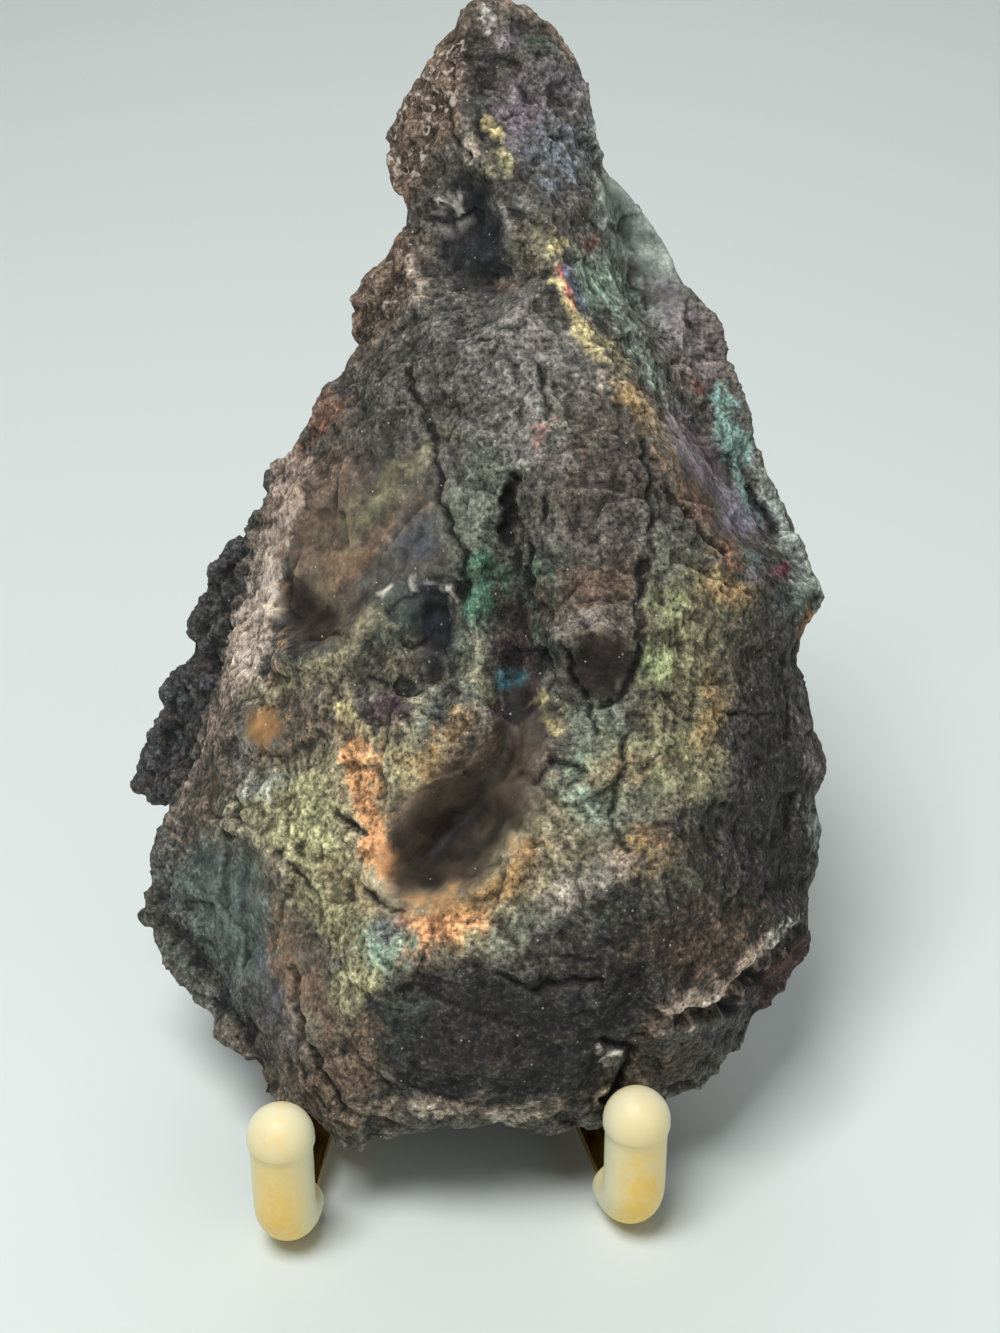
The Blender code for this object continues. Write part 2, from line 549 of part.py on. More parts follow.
def build_rear_leg(made):
    """A flat strip that lies behind the bar, bends down to the floor and ends in a level foot."""
    _, up, behind = leg_frame()
    back = bar_centre() + behind * (BAR_THICK / 2 + GAP + STRIP_THICK / 2)
    head = back - up * (BAR_HEIGHT / 2)
    neck = back + up * (BAR_HEIGHT / 2 - 1.0)
    sole = Vector((0, neck.y + REAR_REACH, STRIP_THICK / 2))
    toe = sole + Vector((0, REAR_FOOT, 0))
    points, tangents = bent_path([head, neck + up * 3.0, sole, toe], (1.6, 2.0))
    section = [(a * REAR_WIDTH / STRIP_WIDTH, n) for a, n in strip_section()]
    across = Vector((1, 0, 0))
    verts, faces = loft([ring_at(p, t, across, section) for p, t in zip(points, tangents)])
    return add_object("rear_leg", verts, faces, made)


clear_scene()
stone_material = material("limonite", STONE_COLOUR, 0.8, 0.0)
strip_material = material("brass strip", STRIP_COLOUR, 0.2, 1.0)
sleeve_material = material("silicone", SLEEVE_COLOUR, 0.5, 0.0)
build_stone(stone_material)
for side_name, side_sign in (("left", -1), ("right", 1)):
    build_arm(side_name + "_arm", side_sign, strip_material)
    build_sleeve(side_name + "_sleeve", side_sign, sleeve_material)
build_bar(strip_material)
build_rear_leg(strip_material)
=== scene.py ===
"""A limonite specimen leaning on a small easel of bent brass strip with silicone sleeves on its hooks.

The tables of points and marks are in millimetres of the stone's own frame: across, up and away, the
front towards the viewer. The pieces themselves are in metres of the row frame.
"""
from __future__ import annotations

import json
import logging
import math
from dataclasses import dataclass, field
from enum import Enum
from typing import Sequence

import bmesh
import bpy
import numpy as np
from mathutils import Matrix, Vector, noise
from mathutils.geometry import delaunay_2d_cdt

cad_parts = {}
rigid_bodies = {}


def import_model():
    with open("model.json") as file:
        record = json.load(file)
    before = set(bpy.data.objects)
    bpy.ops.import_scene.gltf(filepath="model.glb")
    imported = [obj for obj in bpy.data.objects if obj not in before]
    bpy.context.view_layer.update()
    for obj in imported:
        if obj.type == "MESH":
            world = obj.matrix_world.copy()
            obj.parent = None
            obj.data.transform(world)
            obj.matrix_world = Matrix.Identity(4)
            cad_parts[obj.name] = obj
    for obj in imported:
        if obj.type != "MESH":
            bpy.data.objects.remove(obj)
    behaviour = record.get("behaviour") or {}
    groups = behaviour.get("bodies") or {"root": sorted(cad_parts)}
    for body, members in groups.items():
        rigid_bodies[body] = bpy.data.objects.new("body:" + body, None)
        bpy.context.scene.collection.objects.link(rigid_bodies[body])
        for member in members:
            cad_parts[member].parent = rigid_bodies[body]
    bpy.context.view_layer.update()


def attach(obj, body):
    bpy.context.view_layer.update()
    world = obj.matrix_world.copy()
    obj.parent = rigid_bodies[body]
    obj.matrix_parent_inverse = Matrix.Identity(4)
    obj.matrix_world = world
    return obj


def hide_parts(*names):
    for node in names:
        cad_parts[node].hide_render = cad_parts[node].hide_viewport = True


MM = 0.001
BODY = "root"
Point = tuple[float, float, float]
Spot = tuple[float, float]
Colour = tuple[float, float, float, float]
Faces = list[tuple[int, ...]]
Sheet = tuple[list[Point], Faces]
Tree = bpy.types.NodeTree
Socket = bpy.types.NodeSocket

EYE: Point = (3.52, 39.875, 190.0)  # the camera in the stone's own frame: across, up and out in front
LIGHTNESS = (0.2126, 0.7152, 0.0722)  # what red, green and blue light add to how light a colour is
MERGE_MM = 1e-4  # points of a sheet that are nearer than this are one
WELD_MM = 0.01  # corners of the two sheets and the band that are nearer than this are one

# Sizes and heights of the relief that the solid has too, in millimetres
ROCK_GRAIN = 5.0
ROCK_RELIEF = 0.4
FINE_GRAIN = 1.9
FINE_RELIEF = 0.14
LUMP_SIZE = 4.2
LUMP_RELIEF = 1.1

# Shapes of the lumps, knobs and small break faces, as shares of their own size or height
LUMP_REACH = 0.75
KNOB_REACH = 0.8
ROUND_MEAN = 0.6
BREAK_TILT = 2.2
BREAK_STEP = 0.3
CELL_KEY = 17.3  # spreads the middles of the break faces, so that each has its own tilt

log = logging.getLogger("limonite")


class Tone(Enum):
    """The colours of the rock and of the thin tarnish films on it, as sRGB hex. Some dark ones are also laid
    as painted shade.
    """

    ASH = "#56534b"
    SOOT = "#262524"
    INK = "#1f2126"
    CHARCOAL = "#45413e"
    GRAPHITE = "#5c5955"
    SLATE = "#514c47"
    SMOKE = "#66625d"
    PEBBLE = "#85807a"
    PEWTER = "#77716e"
    UMBER = "#67503f"
    EARTH = "#6e5644"
    TAN = "#94714f"
    TAUPE = "#84705f"
    PINK_TAN = "#a58d7c"
    CREAM = "#c2b09c"
    BONE = "#d6cfc4"
    ROSE = "#b28378"
    RUST = "#7f4e36"
    OXBLOOD = "#4a2a25"
    MAROON = "#3a2a2c"
    PLUM = "#452f38"
    ORCHID = "#8f7f8b"
    MAUVE = "#797279"
    HEATHER = "#7f7073"
    HEATHER_DARK = "#595560"
    LILAC = "#8d8696"
    PERIWINKLE = "#6f7ba2"
    BLUE_GREY = "#858f9a"
    NAVY_GREY = "#454b57"
    NAVY = "#242938"
    SEA_SLATE = "#54635f"
    TEAL = "#4d7672"
    TEAL_PALE = "#7fa79e"
    TEAL_DEEP = "#2c6f79"
    PINE = "#39483f"
    GREEN = "#3e6b54"
    MINT = "#88a890"
    LICHEN = "#8a958d"
    SAGE = "#6d7666"
    OLIVE = "#8e8a5f"
    OLIVE_LIGHT = "#aaa774"
    OLIVE_DARK = "#575140"
    LIME = "#b3bd80"
    SULPHUR = "#d0bf7c"
    STRAW = "#a0946f"
    OCHRE = "#bc9455"
    GOLD = "#a2783f"
    AMBER = "#b4722f"
    ORANGE = "#d99455"
    CORAL = "#d0625a"
    MAGENTA = "#94415f"
    PIT = "#4f4134"
    PIT_DARK = "#382c26"
    # Near-black of the wedge's down-facing underside: dark rock and painted shade
    WEDGE_UNDERSIDE_SHADE = "#2c221f"
    CRUST = "#31302d"
    BACK = "#4f443a"
    MOSS = "#4b4f43"
    DRAB = "#857c62"
    SAND = "#b3a37c"
    WORN = "#413b31"


class Zone(Enum):
    """How the surface of a part of the stone broke or grew."""

    SMOOTH = "conchoidal, almost without grain"
    GRAINY = "hackly, with coarse grain"
    FLECKED = "knobby, with pale flecks"


def smoothstep(low: float, high: float, value: np.ndarray) -> np.ndarray:
    """Gives a soft rise from 0 at low to 1 at high."""
    t = np.clip((value - low) / (high - low), 0.0, 1.0)
    return t * t * (3 - 2 * t)


def linear(hex_colour: str) -> Colour:
    """Turns an sRGB hex colour to linear light, by the curve of the sRGB standard.

    Args:
        hex_colour: A colour such as "#45413e".

    Returns:
        Red, green, blue and an alpha of one.
    """
    channels = []
    for start in (1, 3, 5):
        c = int(hex_colour[start:start + 2], 16) / 255
        channels.append(c / 12.92 if c <= 0.04045 else ((c + 0.055) / 1.055) ** 2.4)
    return channels[0], channels[1], channels[2], 1.0


def distance_to_line(points: Sequence[Spot], u: np.ndarray, v: np.ndarray) -> np.ndarray:
    """Gives the shortest distance from each (u, v) to a polyline.

    Args:
        points: The corners of the line.
        u: Positions across, in millimetres.
        v: Positions up, in millimetres.

    Returns:
        One distance for each position.
    """
    nearest = np.full(len(u), np.inf)
    for (ax, ay), (bx, by) in zip(points, points[1:]):
        dx, dy = bx - ax, by - ay
        t = np.clip(((u - ax) * dx + (v - ay) * dy) / (dx * dx + dy * dy), 0.0, 1.0)
        nearest = np.minimum(nearest, np.hypot(u - ax - t * dx, v - ay - t * dy))
    return nearest


@dataclass(frozen=True)
class Patch:
    """A soft-edged oval of one tone, or of one kind of surface, on the plane that the front faces."""

    kind: Tone | Zone
    across: float
    up: float
    long_half: float
    short_half: float
    turn: float
    strength: float
    edge: float = 0.35

    def weight(self, u: np.ndarray, v: np.ndarray, ragged: np.ndarray | float = 0.0) -> np.ndarray:
        """Gives how much of its kind shows at each position.

        Args:
            u: Positions across, in millimetres.
            v: Positions up, in millimetres.
            ragged: How far the edge is drawn in at each position, in millimetres.

        Returns:
            A share from 0 to strength for each position.
        """
        c, s = math.cos(math.radians(self.turn)), math.sin(math.radians(self.turn))
        along = ((u - self.across) * c + (v - self.up) * s) / self.long_half
        beside = ((v - self.up) * c - (u - self.across) * s) / self.short_half
        out = np.hypot(along, beside) + ragged / self.short_half
        return self.strength * (1.0 - smoothstep(1.0 - self.edge, 1.0 + self.edge, out))


@dataclass(frozen=True)
class Stroke:
    """A soft-edged band of one tone along a line."""

    kind: Tone
    points: tuple[Spot, ...]
    half_width: float
    strength: float
    edge: float

    def weight(self, u: np.ndarray, v: np.ndarray, ragged: np.ndarray | float = 0.0) -> np.ndarray:
        """Gives how much of the tone shows at each position.

        Args:
            u: Positions across, in millimetres.
            v: Positions up, in millimetres.
            ragged: How far the edge is drawn in at each position, in millimetres.

        Returns:
            A share from 0 to strength for each position.
        """
        out = (distance_to_line(self.points, u, v) + ragged) / self.half_width
        return self.strength * (1.0 - smoothstep(1.0 - self.edge, 1.0 + self.edge, out))


@dataclass(frozen=True)
class Crack:
    """A narrow open crack along a line of the front."""

    points: tuple[Spot, ...]
    half_width: float
    depth: float


# Stone outline, clockwise from the left of the peak
PEAK_RIM = (
    (-0.3, 93.8, 3), (0.3, 95.3, 3), (1.5, 95.8, 2), (3.9, 95.7, 2), (6.9, 94.6, 3),
    (8.8, 93.4, 4), (10.3, 89.4, 4), (11.2, 87.1, 4), (12, 84.7, 4), (12.4, 82.1, 5.8),
)
SLAB_RIM = (
    (13.4, 82, 6.6), (15.4, 80, 7.6), (17, 77.7, 8), (18.2, 75.7, 8), (19.2, 73.4, 8),
    (21.4, 71.2, 7.5), (22.7, 69.5, 7), (23.4, 67.2, 7), (23.2, 65.6, 7), (24.4, 63, 7),
    (24.9, 60.7, 7), (26, 56.9, 7), (27.3, 54.7, 7), (28.5, 52.5, 6.5), (29.3, 50.3, 6),
    (30.3, 47.3, 6), (31.2, 45.6, 6), (30.3, 44.3, 5.5), (29.4, 42.6, 5),
)
RIGHT_RIM = (
    (28.9, 40.9, 5), (28.8, 40, 5), (29.6, 37.9, 5), (30.2, 35.3, 5), (31, 30.9, 5),
    (30, 28.9, 5), (30.7, 25.9, 5), (30.5, 22.5, 5), (29.8, 21.1, 5.5), (29.7, 18.9, 6),
    (30.2, 16.1, 6.5), (28.9, 13.8, 6), (26.6, 12, 5), (24.5, 11.1, 4), (23.9, 9.3, 2),
    (23.6, 8.2, 0),
)
FOOT_RIM = (
    (22.5, 7.5, -1), (19.3, 5.1, -2), (17.2, 4.3, -3.5), (14.8, 3.7, -4), (11.6, 3, -4.5),
    (10, 2.4, -5), (8.4, 1.9, -5), (6.8, 1.9, -5), (5.3, 2.6, -5), (3.5, 3.2, -5.5),
    (1.1, 2.9, -6), (-1.3, 2.6, -6), (-4.5, 2.3, -6), (-7.8, 1.4, -5), (-9.5, 1, -4.5),
    (-10.6, 2.2, -4), (-12.6, 3.4, -3.5), (-14.4, 4.1, -3), (-16, 5, -2),
)
LEFT_RIM = (
    (-16.4, 7.1, 0), (-18.1, 7.5, 1.5), (-20.4, 9.1, 3), (-20.7, 10.3, 4), (-23.4, 12.1, 5.5),
    (-25.3, 14.7, 7), (-26.1, 17.3, 8), (-27.5, 18, 8.5), (-26.6, 21.3, 8), (-26.1, 24.1, 8),
    (-24.7, 27.3, 8),
)
CRUST_RIM = (
    (-25.4, 28.1, 11), (-26.5, 28.3, 11.5), (-28.4, 29.2, 12), (-27.9, 31.1, 12), (-27.7, 32.9, 12),
    (-26.6, 35.1, 12), (-25.9, 36, 12), (-26, 38.2, 12), (-24.4, 39.6, 12), (-23.9, 40.9, 12),
    (-23.3, 44, 12), (-22.6, 45.8, 12), (-21.7, 48, 11.5), (-20.1, 50.3, 11), (-18.5, 50.6, 10.5),
    (-18.3, 51.9, 10.5), (-17.4, 54.5, 10), (-16.6, 56.2, 9.5), (-15.6, 57.7, 8.5),
)
UPPER_LEFT_RIM = (
    (-14.2, 58.1, 7), (-12.8, 60.2, 6), (-11.1, 63.6, 6), (-9.8, 64.7, 6), (-8.8, 67.1, 6),
    (-9.2, 69.2, 6), (-8.9, 71.4, 6), (-8.1, 72.6, 5.5), (-6.7, 74, 5), (-5.5, 75.9, 5),
    (-4.6, 77.5, 4.5), (-4.4, 79.7, 4.5), (-5.5, 80.6, 5), (-6.1, 82.8, 5), (-5.9, 84.9, 5),
    (-4.9, 87, 5), (-4.2, 88.6, 4.5), (-2.9, 90.6, 4), (-1.6, 92.6, 3.5),
)

# Ridges and edges of the front, each a line the surface breaks along
SPIRE_EDGE = (
    (0, 92.9, 1), (-0.5, 88.5, -1), (0.1, 85.3, -2), (0.9, 83.3, -2.5), (2.4, 80.9, -3),
    (3.5, 77.9, -3), (4.4, 75.2, -3),
)
CREST = (
    (11.6, 81.2, 3), (12.2, 79.7, 3), (12.6, 77.4, 2.5), (12.9, 75.5, 2), (13.1, 73.4, 1.5),
    (13.2, 71.8, 1), (13.6, 69.8, 0.5), (14.6, 67.5, 0), (15.7, 65.3, -0.5), (16.6, 61.7, -1.5),
)
SLAB_FOOT = (
    (13.4, 80.6, 5.4), (14.1, 77.4, 6.4), (14.6, 74, 6.5), (15.1, 71, 6.5), (16.4, 68.5, 6),
    (17.6, 66.5, 5.5),
)
FRONT_RIDGE = (
    (8.4, 72.2, -4), (9.6, 68, -5), (11.6, 65.5, -5.5), (13.4, 62.6, -6), (15.6, 59, -6),
    (17.7, 56.5, -6), (19.4, 52.6, -6.5), (21.5, 49.2, -6.5), (24.7, 46.7, -5), (27.7, 44.4, -1),
)
FACET_TOP = ((-14.6, 49.1, 2.5), (-12.2, 47.1, 0.5), (-9.6, 45.2, -2.5), (-7.7, 44.1, -4.5))
ARM_RIDGE = ((-16.5, 38.5, 1), (-14.6, 40.1, -1), (-12.6, 41, -3), (-9.4, 42.5, -5), (-6.8, 43.5, -6))
GROOVE = ((4.3, 55.2, -8), (4.1, 49.9, -7), (5.1, 45.2, -7), (4.7, 40.4, -7), (4.7, 36, -7.5))
WEDGE_TOP = ((7.9, 45.1, -10), (11, 46.8, -11), (14.5, 45.1, -12))
WEDGE_BROW = ((8, 41.9, -13), (11.2, 42.5, -14.5), (14.3, 41.8, -14))
WEDGE_TIP = ((8.7, 40, -11.5), (10.3, 36.8, -10.5), (13.3, 39.1, -12))
PIT_RIM = (
    (-5.4, 26.4, -11), (-6.3, 23.3, -11.5), (-4, 22.3, -12), (-1.5, 22, -12.5), (1.9, 23.2, -13),
    (4.1, 24.7, -13.5), (6.1, 27.4, -13.5), (5.1, 30.3, -13), (6.7, 32.8, -12),
)
PIT_SHOULDER = ((2.4, 33.9, -9.5), (0.3, 33.3, -10.5), (-3.2, 29.9, -10.5), (-5.4, 26.4, -11))
PIT_CREASE = ((-2.4, 24.6, -7.4), (-0.4, 26.4, -6.4), (1.7, 28.7, -6.8), (3.8, 31.7, -8))
YELLOW_RIDGE = (
    (-14.8, 25.3, -5), (-11.3, 22.1, -8), (-9, 19.8, -10), (-8.6, 17, -11), (-7.6, 11.4, -12),
    (-7.3, 6.9, -10.5),
)
LEDGE = (
    (-5.5, 15.5, -13.5), (-1.1, 17.4, -14.5), (2.8, 18.1, -15), (6.7, 18.2, -15.5), (8.7, 20.4, -15.5),
    (12, 22.8, -15.5), (14.2, 24.1, -15.5), (17.8, 25.3, -14.5), (16.8, 27.8, -13.5), (17, 29.9, -13),
)
FOOT_GROOVE = ((13.4, 13.8, -12), (14.1, 9.8, -10), (12.4, 7.3, -7.5))
LIP = ((17.2, 12.5, -12), (21.5, 12.9, -9), (22.5, 15.4, -8.5), (24.6, 17, -7), (27.8, 18.8, -3.5))
LOWER_LEFT_EDGE = (
    (-19.5, 28.7, 1), (-18.1, 27.5, -1.5), (-16.6, 25.6, -2.5), (-15.6, 23.1, -3.5), (-14.5, 20.1, -4.5),
    (-13.9, 17.2, -5.5), (-13.1, 14, -6.5), (-12.1, 11, -8), (-11, 7.2, -8), (-10.1, 4.4, -7.5),
)
BACK_BAND_EDGE = ((-25.1, 17.9, 6.5), (-22.2, 15.4, 4.5), (-19.6, 12.3, 2.5), (-17.5, 9.5, 0.5))
WHITE_EDGE = (
    (-13.7, 56.6, 4), (-14.4, 52.3, 3), (-15.4, 48, 3), (-16.6, 42.1, 2.5), (-18.3, 37.9, 2.5),
    (-20.8, 33.2, 4),
)
CRUST_EDGE = (
    (-15.7, 55.1, 7), (-17.1, 50.4, 7.5), (-19.4, 43.9, 8), (-21.4, 37.8, 8.5), (-22.9, 33, 8.5),
    (-24.2, 29.1, 8.5),
)

# Single heights of the front faces
SPIRE_POINTS = (
    (4.4, 92.1, 0), (6.9, 87.1, 0), (6, 81.6, -2), (9.6, 84.8, 1), (7.7, 90.7, 1), (10.2, 79.6, 0),
    (7.2, 76.5, -3), (-2.4, 86.7, 2), (-2.8, 82.5, 2), (-2.8, 78.9, 3), (-4.5, 74.2, 3.5), (-6, 71, 3.5),
    (-4, 70.6, 1), (-1.5, 79.6, 2), (1.4, 77, 1.5), (-0.3, 72.8, 1.5), (2.7, 71.8, 0.5),
)
SLAB_POINTS = (
    (19.9, 67.2, 6.5), (20.7, 63.2, 6), (23.7, 57.6, 6), (25.6, 53.3, 5.5), (27.5, 48.9, 4),
    (18, 61.4, 2.5), (20.8, 58.1, 3.5), (22.4, 53.9, 2.5), (24.6, 49.8, 0.5),
)
COLUMN_POINTS = (
    (-2.6, 67.5, -2.5), (-1.4, 61.6, -4.5), (1.9, 65.5, -5.5), (5.1, 68.7, -5.5), (5.9, 61.2, -7.5),
    (1.9, 57.3, -7), (8.3, 57.9, -9), (11.5, 59.6, -8), (13.8, 54.6, -9.5), (8.3, 51.4, -10),
    (1.9, 51.6, -8), (-0.3, 52.5, -6.5), (14.8, 61.3, -6.5),
)
LEFT_POINTS = (
    (-5.1, 63.9, -2), (-6.4, 59.4, -2), (-9, 58.8, 0), (-11, 54.6, 0.5), (-7.2, 53.2, -2.5),
    (-4.4, 48.5, -5), (-9.3, 48.2, -2), (-12.4, 51.3, 1.5), (-1.9, 47.6, -7), (-13.4, 44.5, 3),
    (-11.8, 43.9, 1.5), (-1.7, 44.9, -4), (-1.6, 42, -3.5), (-3, 45.3, -5.5), (-0.4, 40.4, -5.5),
)
MIDDLE_POINTS = (
    (1.5, 46, -8.5), (1.7, 39.8, -9), (-4.9, 42, -7), (-5.2, 37.2, -8.5), (-3.2, 36.1, -10.5),
    (-1.2, 34.5, -10.5), (-9.4, 37.2, -5.5), (-12.9, 35.9, -3),
)
RIGHT_POINTS = (
    (16.1, 48.3, -10.5), (19.4, 45.2, -9), (15.9, 39.6, -12), (20.5, 35.7, -10), (21.6, 42, -8),
    (12.9, 34.2, -12.5), (15.9, 32.6, -13), (11.3, 30.3, -13), (25.7, 40.4, -3), (26.6, 33, -3),
    (25.3, 24.9, -4.5), (22, 30.9, -9.5), (19.2, 28.6, -11.5), (27.9, 22, 0.5), (23.7, 20.7, -7),
    (22.2, 37.2, -8.5),
)
LOWER_POINTS = (
    (-9.3, 29.2, -7), (-12.7, 25, -5), (-8.2, 22.9, -9), (-14.1, 29, -3.5), (-17.2, 31.7, -1),
    (-18.5, 34.6, 0.5), (-1.1, 19.5, -14), (6.6, 21.9, -14.5), (10.4, 25.8, -14.5), (-6.6, 19.6, -12.5),
    (0, 14.1, -14), (5.1, 13.4, -14.2), (10.4, 15, -14.5), (-2.7, 9.2, -12.5), (3.5, 8.1, -12.5),
    (9, 9.2, -12.5), (10.2, 5, -8), (13.5, 5.6, -5.5), (17, 6.6, -5.5), (6.7, 4.8, -9),
    (-0.4, 4.8, -9.5), (-6.4, 4.8, -9),
    (15, 18.9, -15), (20.8, 19.6, -11), (15.5, 14.4, -13.5), (16.4, 10.2, -11.5), (19.4, 10.2, -9),
    (23.7, 12.4, -2.5), (24.9, 14.3, -1), (26.9, 15.8, 0.5), (-22.4, 24.3, 4), (-21.6, 19.7, 3),
    (-18.9, 15.4, 0.5), (-16.1, 10.8, -2.5),
)
CRUST_POINTS = ((-19.6, 47.9, 10), (-21.6, 42.2, 10.5), (-23.6, 36.5, 10.5), (-25.5, 32.5, 10.5))

# Heights of the back and of the underside
BACK_POINTS = (
    (1.6, 94.6, 5), (5.2, 93.6, 7), (8.8, 89.3, 9), (3.5, 89.2, 12), (-1.7, 88.4, 9), (-0.9, 82.1, 12),
    (8, 81.6, 14), (-4.3, 81.6, 7), (-1, 72.8, 15), (10.7, 73, 16), (18.6, 70.6, 12), (-7.2, 63.6, 13),
    (3.5, 64.3, 19), (14.5, 62.4, 18), (21.2, 59.9, 12), (-11.8, 54.8, 15), (-2.9, 53.4, 20),
    (9.1, 53.4, 21), (19.8, 51.3, 16), (26.2, 49.2, 9), (-19.1, 44.1, 16), (-11.2, 42.3, 20),
    (1.7, 41.4, 22), (14.6, 41.4, 21), (24.1, 40.5, 14), (-24.5, 33.2, 16), (-18.5, 31.3, 19),
    (-8.6, 31.2, 22), (3.5, 29.3, 23), (16.5, 29.4, 21), (25.8, 29.8, 13), (-23.3, 22.6, 14),
    (-15.6, 20.4, 18), (-3.8, 18.4, 20), (9, 18.4, 20), (20.7, 19.7, 16), (28, 21.2, 9),
    (-19.5, 13, 12), (-10.1, 10.5, 17), (1.7, 9.5, 17.5), (13.5, 9.7, 16.5), (22.9, 12.2, 11),
    (-15, 6.6, 9), (17.6, 6.6, 9), (-13.6, 5.2, 3), (-7, 5.2, 9), (3.5, 5.2, 10), (12.3, 5.2, 9),
    (-9.9, 3, 0), (-3.2, 3.6, 1), (3.5, 4.4, 1), (10.3, 3.8, 1), (16.3, 5.2, 3),
)
# Ovals of tone on the front, each painted over the last: across, up, long half, short half, turn in
# degrees, strength and width of the soft edge
GROUND = (
    Patch(Tone.SLATE, 3.5, 85.4, 12.5, 6.7, -80, 0.7, 0.5),
    Patch(Tone.GRAPHITE, 1.9, 63.8, 12.5, 7.5, -80, 0.6, 0.6),
    Patch(Tone.SLATE, -7.3, 56.2, 10, 5.8, 50, 0.7, 0.5),
    Patch(Tone.CHARCOAL, -8.1, 43.8, 8.3, 5, 10, 0.6, 0.6),
    Patch(Tone.MOSS, 3.5, 48.8, 9.6, 5.2, 88, 0.7, 0.5),
    Patch(Tone.UMBER, 11.9, 53.8, 10.8, 3.8, -75, 0.5, 0.6),
    Patch(Tone.OLIVE, 19.4, 35.4, 12.5, 4.8, 85, 0.8, 0.45),
    Patch(Tone.CHARCOAL, 26.9, 32.1, 14.6, 4, 90, 0.8, 0.5),
    Patch(Tone.SAND, -3.1, 25.4, 15.4, 8.8, -5, 0.8, 0.4),
    Patch(Tone.DRAB, 11, 26.2, 8.3, 6, 20, 0.85, 0.45),
    # Near-black ovals of the lower right and the lower front, which face down: dark rock and painted shade
    Patch(Tone.SOOT, 20.2, 15.8, 9.6, 5.8, 10, 0.85, 0.4),
    Patch(Tone.SOOT, 3.5, 8.3, 10.8, 5.5, 0, 0.9, 0.3),
    Patch(Tone.SEA_SLATE, -19.8, 17.9, 7.9, 4.3, -70, 0.6, 0.6),
    Patch(Tone.EARTH, -11.5, 8.8, 6.2, 4.2, -70, 0.6, 0.6),
)
SPIRE_TARNISH = (
    Patch(Tone.UMBER, -2.5, 86.7, 9.2, 2.8, 65, 0.9, 0.35),
    Patch(Tone.UMBER, -6.1, 71.2, 6.2, 2.8, 62, 0.85, 0.45),
    Patch(Tone.EARTH, -4.8, 81.2, 2.5, 1.2, 80, 0.6, 0.6),
    Patch(Tone.SOOT, 1.4, 91.7, 2.2, 1.3, 75, 0.8, 0.6),
    Patch(Tone.ASH, 4.2, 79.6, 5.8, 2.5, -80, 0.55, 0.6),
    Patch(Tone.CHARCOAL, 5.2, 86.2, 9.2, 3.8, -80, 0.7, 0.6),
    Patch(Tone.SOOT, 2, 86.2, 8.3, 0.9, -78, 0.7, 0.6), Patch(Tone.ORCHID, 4.4, 92.6, 1, 0.8, 40, 0.5, 0.6),
    Patch(Tone.PINE, 7.5, 91.7, 1.8, 1, -30, 0.75, 0.5),
    Patch(Tone.ORCHID, 5.2, 85.9, 2.3, 1.7, -70, 0.7, 0.7),
    Patch(Tone.MAUVE, 8.4, 88.1, 2.8, 2.7, 0, 0.6, 0.7),
    Patch(Tone.BLUE_GREY, 8.5, 82.8, 2.7, 2, -40, 0.7, 0.6),
    Patch(Tone.BLUE_GREY, 7.9, 80, 1, 0.8, 0, 0.6, 0.7),
    Patch(Tone.SULPHUR, 3.2, 84.1, 1.1, 0.4, -72, 0.85, 0.4),
    Patch(Tone.STRAW, 3.7, 82.2, 0.7, 0.4, -20, 0.9, 0.4),
    Patch(Tone.OLIVE, 2.9, 81.4, 1, 0.7, 0, 0.6, 0.7), Patch(Tone.INK, 1.4, 75.6, 5.2, 3, -76, 1, 0.1),
    Patch(Tone.SOOT, -0.2, 80.4, 1.3, 1, 0, 0.8, 0.5), Patch(Tone.INK, 3.3, 73.6, 2.5, 1.3, -75, 0.7, 0.6),
    Patch(Tone.INK, 3.5, 73.6, 2.8, 1.2, -75, 0.9, 0.3), Patch(Tone.CREAM, 4.4, 72.2, 1, 0.4, 20, 0.6, 0.7),
    Patch(Tone.ROSE, 3.9, 71.4, 0.8, 0.5, 0, 0.6, 0.7), Patch(Tone.SMOKE, 7.3, 77.5, 2.8, 2.5, 0, 0.5, 0.7),
    Patch(Tone.RUST, 11.3, 74.9, 0.8, 0.7, 60, 0.9, 0.5),
    Patch(Tone.OLIVE, 6.9, 74.6, 2.2, 1.8, 0, 0.5, 0.8), Patch(Tone.MINT, 11.9, 71.7, 2, 2.3, 0, 0.85, 0.5),
    Patch(Tone.SAGE, 9.8, 73.6, 0.8, 0.8, 0, 0.6, 0.6),
    Patch(Tone.SOOT, -2.7, 77.5, 1.7, 0.8, 60, 0.7, 0.5),
    Patch(Tone.SULPHUR, 8.2, 75, 0.6, 0.5, 0, 0.8, 0.5), Patch(Tone.PINE, 9.4, 65.2, 1.3, 2.3, 0, 0.7, 0.7),
    Patch(Tone.SULPHUR, 11.2, 66.9, 1.7, 0.9, -40, 0.9, 0.5),
    Patch(Tone.SULPHUR, 9.5, 68.3, 1, 0.8, 0, 0.8, 0.5),
    Patch(Tone.CREAM, 12.1, 63.8, 1, 0.7, -30, 0.9, 0.5),
    Patch(Tone.SOOT, 12.4, 69.3, 0.7, 0.4, -20, 0.8, 0.5),
    Patch(Tone.BONE, 1.9, 94.5, 0.3, 0.2, 0, 0.8, 0.5), Patch(Tone.BONE, 2.4, 93.5, 0.2, 0.2, 0, 0.8, 0.5),
    Patch(Tone.CREAM, 1, 82.9, 0.5, 0.7, 0, 0.9, 0.5),
)
